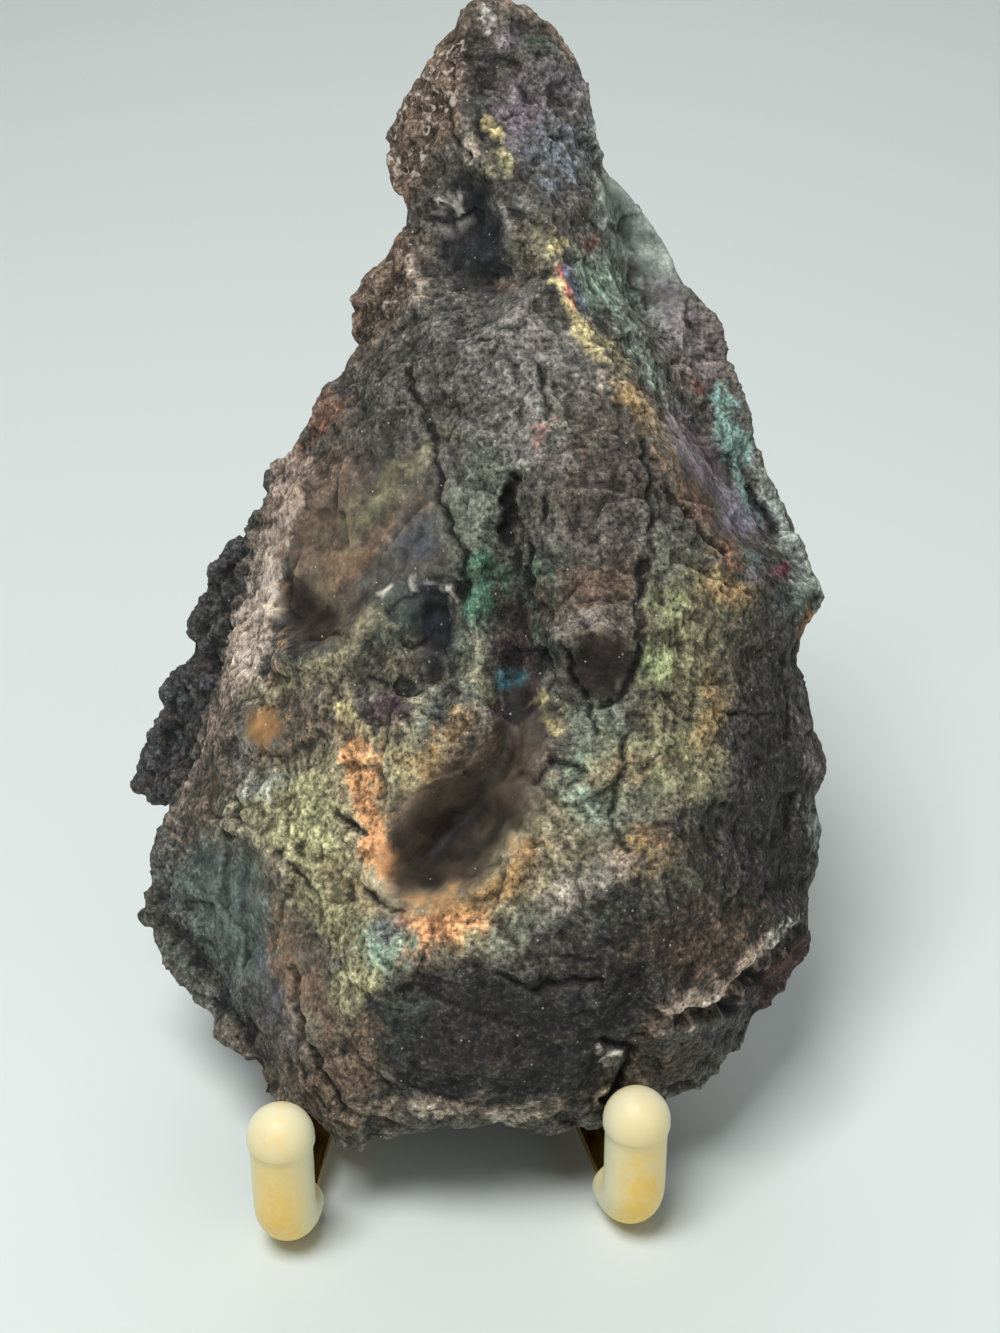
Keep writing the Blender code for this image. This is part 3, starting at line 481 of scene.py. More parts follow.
SLAB_TARNISH = (
    Patch(Tone.LICHEN, 15.2, 75.6, 5.7, 2.2, -59, 0.95, 0.35),
    Patch(Tone.LICHEN, 17.5, 67.9, 5, 1.3, -62, 0.8, 0.5),
    Patch(Tone.MAUVE, 17.9, 70.4, 2, 1.5, -40, 0.8, 0.6),
    Patch(Tone.HEATHER, 19.5, 66.7, 3.7, 2.5, -60, 0.75, 0.5),
    Patch(Tone.SOOT, 20.5, 68.2, 0.5, 0.4, 0, 0.9, 0.5),
    Patch(Tone.SOOT, 21.2, 62.5, 1, 0.7, -40, 0.9, 0.5),
    Patch(Tone.RUST, 19.2, 63.9, 0.8, 0.5, -50, 0.7, 0.6),
    Patch(Tone.HEATHER, 21.5, 67.9, 1, 1.2, 0, 0.6, 0.6),
    Patch(Tone.LILAC, 23.1, 52.2, 2, 1.2, -50, 0.85, 0.5),
    Patch(Tone.TEAL_PALE, 22.6, 59.6, 3.2, 1.1, -75, 0.95, 0.4),
    Patch(Tone.TEAL_PALE, 23.9, 54.6, 2, 0.8, -60, 0.95, 0.4),
    Patch(Tone.TEAL, 22, 56.7, 1.3, 0.7, -60, 0.6, 0.6), Patch(Tone.INK, 26, 47.5, 1.7, 1, -60, 0.8, 0.6),
    Patch(Tone.MAGENTA, 26.9, 47.8, 0.7, 0.6, 0, 0.95, 0.5),
    Patch(Tone.LILAC, 24.9, 47.8, 0.8, 0.7, 0, 0.7, 0.6),
    Patch(Tone.TEAL_PALE, 24.2, 49.1, 1.1, 0.6, -20, 0.7, 0.6),
    Patch(Tone.TEAL, 28.3, 45.2, 1.5, 1.2, -60, 0.6, 0.7),
    Patch(Tone.AMBER, 28.8, 43.2, 1.7, 0.8, 65, 0.95, 0.4),
)
COLUMN_TARNISH = (
    Patch(Tone.GRAPHITE, -0.2, 66.7, 5.8, 4.2, 20, 0.7, 0.6),
    Patch(Tone.GRAPHITE, -2.3, 60.4, 5, 2.5, -60, 0.6, 0.6),
    Patch(Tone.PEBBLE, 6.9, 66.2, 5, 3.3, -30, 0.75, 0.6),
    Patch(Tone.PEBBLE, 5.2, 60, 5, 2.7, -50, 0.9, 0.5), Patch(Tone.SOOT, 3.1, 60.8, 1.5, 1, 0, 0.55, 0.8),
    Patch(Tone.SAGE, 2, 53.8, 4.7, 2.5, 85, 0.75, 0.6), Patch(Tone.SAGE, 8.5, 60.4, 2, 1.7, 0, 0.5, 0.8),
    Patch(Tone.PLUM, 7.4, 56.4, 1.2, 1.2, 0, 0.6, 0.7),
    Patch(Tone.CHARCOAL, 15.2, 55.4, 5.2, 3.8, -70, 0.75, 0.6),
    Patch(Tone.GRAPHITE, 11.9, 50.4, 4.2, 3.3, 0, 0.6, 0.7),
    Patch(Tone.SAGE, 17.5, 48.6, 3, 2, -80, 0.6, 0.6),
    Patch(Tone.CHARCOAL, 5.2, 52.1, 3.7, 1.2, 85, 0.6, 0.6),
    Patch(Tone.RUST, 22.5, 46.2, 2.5, 1.3, -25, 0.6, 0.7),
    Patch(Tone.SULPHUR, 20.7, 46.7, 1.4, 0.7, 40, 0.9, 0.5),
    Patch(Tone.SULPHUR, 18.5, 44.2, 1.2, 0.7, 35, 0.55, 0.7),
    Patch(Tone.CREAM, 16.9, 60, 1.2, 0.7, -50, 0.7, 0.6),
    Patch(Tone.OCHRE, 14.5, 62.2, 1.7, 1, -50, 0.85, 0.6),
    Patch(Tone.TAN, 16.4, 60, 2.2, 1.2, -50, 0.6, 0.7),
)
LEFT_TARNISH = (
    Patch(Tone.SLATE, -6.1, 62.1, 5.2, 4.3, 30, 0.85, 0.5),
    Patch(Tone.RUST, -10.5, 61.4, 1.8, 1.2, 60, 0.85, 0.6),
    Patch(Tone.RUST, -12.9, 57.9, 2, 0.6, 65, 0.7, 0.6),
    Patch(Tone.EARTH, -11.3, 53.8, 4.7, 2.8, 60, 0.8, 0.6),
    Patch(Tone.EARTH, -10.6, 49.6, 4.2, 2.8, 20, 0.8, 0.6),
    Patch(Tone.TAN, -8.8, 48.1, 4.5, 1, 38, 0.75, 0.7), Patch(Tone.TAN, -4.8, 52.2, 2.3, 0.8, 40, 0.6, 0.8),
    Patch(Tone.OLIVE, -5.8, 54.4, 5, 1.2, 42, 0.6, 0.8),
    Patch(Tone.NAVY_GREY, -3.4, 50.4, 2.2, 1.8, 50, 0.85, 0.6),
    Patch(Tone.PIT, -11.6, 43.9, 3.8, 2.2, -40, 1, 0.2),
    Patch(Tone.PIT_DARK, -13, 43.4, 4.5, 1.2, -76, 0.85, 0.2),
    Patch(Tone.DRAB, -10.5, 45.8, 2.7, 0.8, -38, 0.5, 0.6),
    Patch(Tone.GRAPHITE, -6.1, 46.2, 2.5, 1.7, 0, 0.6, 0.7),
    Patch(Tone.PINE, -11.9, 40.8, 3.3, 0.8, 22, 0.6, 0.6),
    Patch(Tone.STRAW, -16, 37.9, 2.5, 1.2, 10, 0.7, 0.6),
    Patch(Tone.EARTH, -13.1, 35.8, 3, 1.5, 10, 0.6, 0.7),
    Patch(Tone.GOLD, -16.3, 34.8, 1.5, 1.4, 0, 0.95, 0.6),
    Patch(Tone.AMBER, -16.1, 34.3, 0.8, 0.8, 0, 0.6, 0.8),
    Patch(Tone.UMBER, -13.8, 33.3, 2.2, 1.3, 0, 0.6, 0.7),
    Patch(Tone.PEWTER, -18.1, 31.7, 1.7, 0.8, 75, 0.8, 0.5),
    Patch(Tone.UMBER, -19.6, 35.4, 2.5, 1.2, 65, 0.6, 0.6),
    Patch(Tone.STRAW, -9.8, 37.9, 2.5, 0.8, 20, 0.5, 0.8),
)
HOLLOW_TARNISH = (
    Patch(Tone.PINE, -5.5, 43.6, 3.3, 2.2, 20, 0.85, 0.6),
    Patch(Tone.NAVY, -2.1, 43.4, 3.3, 1.5, -80, 1, 0.35),
    Patch(Tone.INK, -1.7, 40.8, 1.7, 1.3, -60, 0.85, 0.5),
    Patch(Tone.GREEN, 1.4, 45.9, 3.3, 1.6, -85, 1, 0.35),
    Patch(Tone.GREEN, 4.5, 46.9, 2.2, 1.1, -20, 0.8, 0.5),
    Patch(Tone.GREEN, 6.6, 46.1, 2.3, 1.2, 80, 0.75, 0.5),
    Patch(Tone.SAGE, 1.6, 39.8, 3.7, 1.7, -85, 0.85, 0.4),
    Patch(Tone.STRAW, 1.7, 39.8, 2.5, 0.8, -85, 0.5, 0.8), Patch(Tone.MAROON, 5, 40.4, 7, 2.2, 88, 1, 0.3),
    Patch(Tone.TEAL_DEEP, 3.9, 38.9, 0.9, 0.8, 70, 0.85, 0.6),
    Patch(Tone.PINE, 7.3, 44.4, 3.7, 1, 88, 0.85, 0.5), Patch(Tone.PLUM, -5.8, 36.1, 2.2, 1.6, 10, 1, 0.3),
    Patch(Tone.OLIVE_DARK, -7.1, 40.2, 3.8, 1.4, 8, 0.8, 0.6),
    Patch(Tone.INK, 5.2, 44.4, 2.2, 1.3, 0, 0.6, 0.6),
    Patch(Tone.OLIVE_DARK, -4.6, 39.2, 2, 1.2, 0, 0.85, 0.5),
    Patch(Tone.LICHEN, -2.8, 35.9, 2.2, 0.9, 42, 0.75, 0.4),
    Patch(Tone.SAND, -3.6, 35.8, 2.3, 0.8, 40, 0.85, 0.5),
    Patch(Tone.SAGE, -2.5, 36.1, 2, 1.2, 40, 0.6, 0.6),
    Patch(Tone.SULPHUR, -8.8, 35.9, 1.3, 0.6, -45, 0.75, 0.6),
    Patch(Tone.OCHRE, -9.4, 33.9, 1.3, 0.8, -40, 0.6, 0.6),
    Patch(Tone.BONE, -2.8, 46.7, 1.3, 0.3, 8, 0.8, 0.5),
    Patch(Tone.BONE, -0.6, 45.9, 1, 0.3, -60, 0.8, 0.5),
)
PIT_TARNISH_AND_SHADE = (
    Patch(Tone.STRAW, -7.1, 33.1, 1.8, 0.8, -55, 0.6, 0.7),
    Patch(Tone.OLIVE, -4.6, 31.7, 3, 1.7, -70, 0.75, 0.6),
    Patch(Tone.GOLD, -3.8, 29.6, 2.5, 0.8, -60, 0.45, 0.8),
    Patch(Tone.TAN, -0.6, 34.1, 3.3, 1, 46, 0.45, 0.8), Patch(Tone.PIT, -0.1, 26.5, 8.2, 5.2, 45, 1, 0.2),
    Patch(Tone.PIT, -2.5, 24.6, 3.7, 3.2, 40, 1, 0.3), Patch(Tone.PIT, 1.4, 31.1, 4.3, 3, 45, 0.95, 0.35),
    Patch(Tone.PIT, 5.2, 31.2, 4.2, 2.5, 60, 0.9, 0.4),
    # The two darkest ovals of the pit, along its crease: brown rock and painted shade
    Patch(Tone.PIT_DARK, -0.2, 23.9, 4.2, 1.5, 32, 0.85, 0.5),
    Patch(Tone.PIT_DARK, 3.5, 27.1, 3.3, 1.2, 60, 0.6, 0.6),
    Patch(Tone.OCHRE, 3.5, 21, 4.3, 1.3, 38, 0.9, 0.6),
    Patch(Tone.GOLD, -0.2, 19.2, 2.8, 1.2, 25, 0.7, 0.7),
    Patch(Tone.ORANGE, -2.7, 17.7, 3.3, 1.2, 25, 0.9, 0.5),
    Patch(Tone.ORANGE, -4.6, 15.8, 1.8, 0.8, 20, 0.9, 0.5),
    Patch(Tone.EARTH, -1.5, 20, 2.8, 1.2, 30, 0.6, 0.7),
    Patch(Tone.PIT_DARK, 8.5, 32.2, 1.7, 0.8, -25, 0.9, 0.4),
    Patch(Tone.SULPHUR, 1, 17.9, 2, 1, 30, 0.6, 0.7), Patch(Tone.GOLD, 1.9, 20.4, 4.8, 1.4, 20, 0.75, 0.7),
    Patch(Tone.ORANGE, -2.1, 17.8, 3.7, 1.4, 20, 0.8, 0.7),
)
MIDDLE_TARNISH_AND_SHADE = (
    Patch(Tone.UMBER, 11.7, 46.2, 3.8, 2.2, 0, 0.85, 0.5),
    Patch(Tone.UMBER, 11.5, 43.6, 3.7, 1.5, -5, 0.7, 0.5),
    Patch(Tone.PEBBLE, 11.7, 43.9, 3.3, 1.1, 0, 0.55, 0.5),
    # The wedge's underside beneath its brow: dark rock and painted shade
    Patch(Tone.WEDGE_UNDERSIDE_SHADE, 11.9, 40.1, 3, 2.8, 0, 1, 0.14),
    Patch(Tone.OLIVE_DARK, 19.4, 40.4, 8.3, 3.7, -80, 0.75, 0.5),
    Patch(Tone.OLIVE, 19.5, 40.8, 6.2, 2.2, -80, 0.45, 0.6),
    Patch(Tone.LIME, 16.4, 39.8, 1.6, 1.2, 80, 1, 0.4),
    Patch(Tone.OCHRE, 21.2, 36.1, 3.7, 1.2, 80, 0.75, 0.6),
    Patch(Tone.LIME, 17.3, 45.4, 1.7, 1, 40, 0.5, 0.8),
    Patch(Tone.SAGE, 11.7, 34.2, 3.3, 2.2, -60, 0.85, 0.5),
    Patch(Tone.STRAW, 8.5, 35.2, 1.2, 0.6, 80, 0.7, 0.6),
    Patch(Tone.MINT, 10.9, 29.6, 3.3, 1.8, -75, 0.75, 0.5),
    Patch(Tone.OLIVE_LIGHT, 15.2, 30.8, 4.2, 2, 10, 0.55, 0.7),
    Patch(Tone.SAGE, 14.4, 28.8, 3.7, 2.5, 20, 0.7, 0.6),
    Patch(Tone.OLIVE, 16, 32.1, 4.2, 2.2, 0, 0.7, 0.6), Patch(Tone.OCHRE, 16.2, 24.8, 2.8, 2.1, 14, 1, 0.2),
    Patch(Tone.SULPHUR, 16.4, 24.4, 1.7, 0.8, 20, 0.5, 0.7),
    Patch(Tone.PINK_TAN, 13.9, 23.6, 1.3, 0.9, 0, 0.9, 0.4),
    Patch(Tone.GOLD, 17.5, 25.4, 1.2, 1, 0, 0.6, 0.6), Patch(Tone.STRAW, 6, 22.5, 5, 3.2, 60, 0.75, 0.6),
    Patch(Tone.SAGE, 4.8, 18.3, 3, 1.8, 30, 0.8, 0.6), Patch(Tone.PEBBLE, 9.8, 20.4, 3.7, 2, 40, 0.75, 0.6),
    Patch(Tone.CREAM, 8.7, 20.8, 1.8, 1, 0, 0.6, 0.8),
    Patch(Tone.CHARCOAL, 26, 33.8, 12.5, 4.5, -88, 1, 0.35),
    Patch(Tone.CHARCOAL, 20.2, 26.2, 5, 2.8, 20, 0.85, 0.4),
    Patch(Tone.OLIVE_DARK, 23.9, 42.1, 4.2, 1.5, 80, 0.6, 0.6),
    Patch(Tone.STRAW, 20.2, 31.7, 2.2, 1, 20, 0.6, 0.7),
    Patch(Tone.TAN, 13.5, 31.2, 2.8, 1.2, 20, 0.5, 0.7), Patch(Tone.SOOT, 27.3, 29.6, 10, 3, -88, 0.6, 0.6),
    # The wedge's underside laid again over the tones around it: dark rock and painted shade
    Patch(Tone.WEDGE_UNDERSIDE_SHADE, 11.9, 39.8, 2.8, 2.7, 0, 1, 0.14), Patch(Tone.OCHRE, 22, 46.1, 2, 1.3, 0, 0.5, 0.7),
    Patch(Tone.SOOT, 23.5, 20, 5, 2.5, 35, 0.6, 0.6),
)
LOWER_TARNISH_AND_SHADE = (
    # Near-black under the ledge and over the lower front, which face down: dark rock and painted shade
    Patch(Tone.SOOT, 12.7, 15, 9.2, 3.7, 26, 0.85, 0.3),
    Patch(Tone.SOOT, 3.5, 8.8, 11.7, 5.5, 0, 0.95, 0.35),
    Patch(Tone.SOOT, 23.5, 24.6, 5.8, 4.2, 0, 0.6, 0.7),
    Patch(Tone.PINE, -5, 11.9, 3.8, 2.5, 70, 0.75, 0.6),
    Patch(Tone.PINE, 11, 19.2, 4.2, 1.2, 20, 0.55, 0.7), Patch(Tone.MAROON, 1, 8.8, 5, 2.3, 0, 0.35, 0.8),
    Patch(Tone.UMBER, 19.4, 17.5, 5.5, 2.8, 30, 0.5, 0.6),
    Patch(Tone.SOOT, 19.4, 15.8, 4.7, 2.3, 35, 0.5, 0.7),
    Patch(Tone.EARTH, -2.7, 14.2, 2.5, 0.8, 10, 0.55, 0.7),
    Patch(Tone.EARTH, -7.7, 8.8, 4.2, 1.2, 88, 0.8, 0.5),
    Patch(Tone.UMBER, -9, 2.1, 2.2, 0.8, 10, 0.7, 0.6), Patch(Tone.BONE, 13.3, 7.4, 0.8, 0.6, 0, 0.95, 0.5),
    Patch(Tone.UMBER, 16, 9.6, 3, 1, 50, 0.6, 0.6),
    Patch(Tone.CHARCOAL, 19.4, 7.9, 4.2, 2.5, 35, 0.85, 0.5),
    Patch(Tone.EARTH, 16, 5.6, 3.3, 1.2, 20, 0.5, 0.7),
    Patch(Tone.OXBLOOD, 26.2, 14.8, 3.8, 2, 48, 1, 0.25),
    Patch(Tone.SOOT, 24.2, 12.9, 1.8, 1.2, 40, 0.7, 0.5),
    Patch(Tone.UMBER, 21.2, 16.2, 3.7, 2.2, 30, 0.7, 0.5),
)
LOWER_LEFT_TARNISH = (
    Patch(Tone.SEA_SLATE, -18.8, 21.7, 4.3, 3.8, 0, 0.85, 0.5),
    Patch(Tone.SEA_SLATE, -16.3, 16.2, 4.7, 2.5, -60, 0.75, 0.6),
    Patch(Tone.HEATHER_DARK, -14.4, 12.1, 3.7, 1.8, -70, 0.75, 0.6),
    Patch(Tone.UMBER, -18.1, 8.3, 3.3, 1.5, -50, 0.4, 0.8),
    Patch(Tone.TAN, -13.4, 13.3, 6.2, 1.3, -72, 0.8, 0.6),
    Patch(Tone.OLIVE, -10.5, 20, 7, 2.2, -56, 0.95, 0.5),
    Patch(Tone.OLIVE, -12.1, 28.3, 5.2, 3.3, 20, 0.9, 0.5),
    Patch(Tone.OLIVE_LIGHT, -13.1, 27.9, 3.7, 2.2, 0, 0.7, 0.7),
    Patch(Tone.LICHEN, -15.8, 30, 2, 1.1, 25, 0.7, 0.6),
    Patch(Tone.OLIVE_LIGHT, -11.3, 25.6, 4.2, 2.3, -50, 0.95, 0.6),
    Patch(Tone.SAND, -8.8, 26.2, 2.5, 1.2, -60, 0.5, 0.8),
    Patch(Tone.MINT, -6.1, 16.4, 2.2, 1.8, 0, 0.95, 0.5),
    Patch(Tone.LILAC, -6, 17.9, 1.2, 0.8, 0, 0.6, 0.7),
    Patch(Tone.OLIVE_LIGHT, -8.5, 13.3, 2.5, 1.5, 70, 0.8, 0.5),
    Patch(Tone.EARTH, -10.6, 8.8, 5, 1.3, -72, 0.8, 0.6), Patch(Tone.UMBER, -13.1, 5, 3.3, 2, 0, 0.6, 0.7),
    Patch(Tone.TAN, -9.4, 22.1, 2.5, 1.3, -50, 0.5, 0.8),
    Patch(Tone.CHARCOAL, -23.1, 27.1, 3.3, 1.3, 60, 0.6, 0.7),
    Patch(Tone.UMBER, -21.1, 28.8, 3.7, 1.2, 62, 0.6, 0.6),
    Patch(Tone.SAGE, -12.7, 9.6, 2.8, 1, -70, 0.5, 0.8),
)

# Bands of tone along lines of the front, painted last, a few of them painted shade: half width, strength and
# width of the soft edge
TARNISH_AND_SHADE_STREAKS = (
    Stroke(Tone.TAUPE, ((3.9, 94.9), (6.9, 93.8), (8.8, 92.1), (9.5, 90.8)), 0.5, 0.8, 0.6),
    Stroke(Tone.LICHEN, ((11.5, 85.4), (12, 81.7), (12.4, 76.2)), 0.58, 0.7, 0.6),
    Stroke(Tone.MINT, ((12.2, 73.1), (14.2, 68.3), (16, 64.6), (17.2, 61.9)), 0.75, 0.5, 0.8),
    Stroke(Tone.LICHEN, ((11.7, 73.9), (13.2, 70.4), (14.9, 67.1), (16.5, 63.4)), 0.75, 0.5, 0.9),
    # Painted shadow under the ledge between the basin and the lower front
    Stroke(Tone.SOOT, (
        (-7.1, 11.4), (-4.6, 12.9), (-1, 14), (3.5, 15.2), (7.3, 16.8), (11, 19.4), (13.7, 21.4),
        (16, 22.1),
    ), 0.75, 0.8, 0.6),
    Stroke(Tone.PEBBLE, ((-1.6, 76.4), (-0.6, 75.8), (0.4, 76.3), (0.8, 77.4)), 0.38, 1, 0.5),
    Stroke(Tone.PEBBLE, ((-4, 77.5), (-3.3, 75.4), (-3.6, 73.1)), 0.33, 0.7, 0.7),
    Stroke(Tone.BONE, ((-1, 78.2), (-0.2, 78.4), (0.4, 77.8)), 0.5, 0.9, 0.6),
    Stroke(Tone.PEBBLE, ((3.5, 78.2), (4.2, 76.9), (4.6, 75.1), (4.7, 73.6)), 0.25, 0.9, 0.5),
    Stroke(Tone.CREAM, ((-4, 73.6), (-3.1, 71.2), (-2.5, 68.3)), 0.25, 0.6, 0.7),
    Stroke(Tone.CORAL, ((8.3, 73.1), (8.9, 71.1), (9.9, 69.1)), 0.38, 0.75, 0.6),
    Stroke(Tone.SULPHUR, ((7.9, 72.1), (8.7, 70.1), (9.5, 68.8)), 0.33, 0.6, 0.6),
    Stroke(Tone.PERIWINKLE, ((8.8, 73.9), (9.6, 71.6), (10.7, 69.1)), 0.33, 0.7, 0.6),
    Stroke(Tone.SULPHUR, ((9.8, 68.9), (11.9, 66.2), (13.4, 64.8)), 0.67, 0.55, 0.8),
    Stroke(Tone.STRAW, ((11.7, 66.1), (14, 63.4), (16.4, 60.6), (18.5, 57.9)), 0.75, 0.4, 0.9),
    Stroke(Tone.LILAC, ((18.2, 60), (20.9, 55.6), (23.9, 51.8)), 1, 0.8, 0.6),
    Stroke(Tone.HEATHER, ((17.2, 62.1), (19.4, 58.8), (21.2, 56.2)), 0.83, 0.7, 0.6),
    Stroke(Tone.PLUM, ((15.2, 63.1), (16.2, 61.9)), 0.33, 0.7, 0.6),
    Stroke(Tone.PLUM, ((19.5, 60), (20.7, 57.5), (22.5, 54.4)), 0.25, 0.8, 0.6),
    Stroke(Tone.EARTH, ((-10.6, 46.8), (-9.1, 45.4), (-7.8, 44.4)), 0.75, 0.6, 0.8),
    Stroke(Tone.PIT_DARK, ((-11.8, 42.8), (-10.3, 42.6), (-9, 42.9)), 0.5, 0.6, 0.7),
    Stroke(Tone.UMBER, ((17.5, 56.9), (19.9, 53.9), (22, 50.8), (23.1, 48.8)), 1.17, 0.75, 0.8),
    Stroke(Tone.RUST, ((19.4, 54.8), (20.5, 52.8)), 0.5, 0.5, 0.9),
    Stroke(Tone.RUST, ((22, 49.8), (23.7, 47.8)), 0.5, 0.6, 0.9),
    Stroke(Tone.LICHEN, ((25.2, 55.8), (27.5, 51.4), (29.2, 46.7)), 0.83, 0.9, 0.5),
    Stroke(Tone.INK, ((24.4, 54.8), (25.6, 52.8), (26.5, 51.1)), 0.29, 0.8, 0.5),
    Stroke(Tone.ROSE, ((6.4, 58.2), (7.1, 59.8), (8.4, 60.5)), 0.42, 0.8, 0.6),
    Stroke(Tone.PINK_TAN, (
        (-14.2, 56.2), (-15.3, 52.1), (-16.1, 47.5), (-17.3, 43.3), (-18.5, 39.4),
    ), 1.58, 1, 0.3),
    Stroke(Tone.CREAM, ((-15.8, 49.1), (-16.3, 43.8), (-17.5, 39.4)), 1.17, 0.8, 0.6),
    Stroke(Tone.TAN, ((-14.7, 49.4), (-14.5, 45.4), (-14.7, 42.1), (-15.4, 38.8)), 0.29, 0.8, 0.5),
    Stroke(Tone.SOOT, ((-14, 48.2), (-13.7, 44.6), (-13.9, 41.2), (-14.5, 37.9)), 0.38, 0.9, 0.4),
    Stroke(Tone.PINK_TAN, ((-19.6, 37.1), (-21.1, 33.3), (-22.9, 29.2), (-23.8, 26.2)), 0.5, 0.55, 0.7),
    Stroke(Tone.STRAW, ((-14.3, 38.5), (-10.6, 40.1), (-7.6, 43.1), (-6.5, 44.4)), 0.75, 0.6, 0.7),
    Stroke(Tone.SAND, ((-9, 32.8), (-8.5, 29.2), (-7.6, 25.8), (-6.4, 22.9)), 1.58, 0.7, 0.6),
    Stroke(Tone.ORANGE, ((-8.5, 32.6), (-7.9, 29.6), (-7, 26.1), (-6, 23.1)), 1.08, 1, 0.5),
    Stroke(Tone.PIT, ((-4.5, 22.8), (-3.5, 25.6), (-1.5, 28.8), (1, 31.4)), 1.25, 1, 0.35),
    # Painted shade along the pit's crease
    Stroke(Tone.PIT_DARK, ((-1.8, 23.9), (-0.1, 25.6), (1.7, 28.2)), 0.5, 0.9, 0.6),
    Stroke(Tone.OCHRE, ((-3.1, 31.4), (-1.8, 33.4), (0.4, 35.2)), 0.67, 0.5, 0.8),
    Stroke(Tone.TAUPE, ((-9.4, 2.9), (-3.1, 3.4), (3.5, 2.7), (8.5, 3.1)), 0.67, 0.9, 0.5),
    Stroke(Tone.CREAM, ((-3.6, 2.8), (-1.5, 2.6)), 0.29, 0.8, 0.5),
    Stroke(Tone.CREAM, ((3.5, 2.4), (6.4, 2.8)), 0.29, 0.8, 0.5),
    Stroke(Tone.PINK_TAN, ((18.7, 11.4), (20.7, 12), (22.4, 12.9)), 1, 1, 0.3),
    Stroke(Tone.PINK_TAN, ((23.4, 14.4), (24.9, 15.7), (26.2, 16.8)), 0.83, 1, 0.35),
    Stroke(Tone.BONE, ((26.2, 16.8), (27, 17.5), (27.8, 18.2)), 0.42, 0.9, 0.5),
    Stroke(Tone.CREAM, ((18.5, 10.8), (21.2, 11.3), (22.4, 11.9), (22.9, 13.3)), 0.21, 1, 0.5),
    Stroke(Tone.CREAM, ((24, 14.2), (25.4, 15.6), (26.5, 16.6)), 0.21, 1, 0.5),
    Stroke(Tone.PEWTER, ((28.5, 37.9), (29, 33.8), (29.8, 29.6)), 0.42, 0.6, 0.6),
    Stroke(Tone.CREAM, ((12.5, 4.8), (12, 3.8)), 0.25, 0.8, 0.5),
    Stroke(Tone.CRUST, (
        (-24.8, 19.4), (-21.6, 15.8), (-19.3, 12.5), (-17.3, 9.2), (-16.3, 7.2),
    ), 0.75, 1, 0.5),
    Stroke(Tone.STRAW, ((-8.1, 16.2), (-8.8, 12.9), (-9.8, 8.8)), 0.5, 0.5, 0.7),
    Stroke(Tone.UMBER, ((-15.8, 24.6), (-14.4, 20.4), (-13.1, 16.2)), 0.5, 0.6, 0.7),
    Stroke(Tone.SULPHUR, ((7.3, 37.1), (8.2, 34.2)), 0.33, 0.6, 0.7),
    Stroke(Tone.LICHEN, ((29.5, 28.8), (29.8, 24.6)), 0.33, 0.7, 0.6),
    Stroke(Tone.GOLD, ((-2.7, 20.2), (1, 20.2), (4.2, 21.8), (5.8, 24.8)), 0.83, 0.85, 0.8),
    Stroke(Tone.ORANGE, ((-4.5, 18.3), (-1.5, 17.9), (1.9, 18.9)), 0.75, 0.6, 0.9),
)
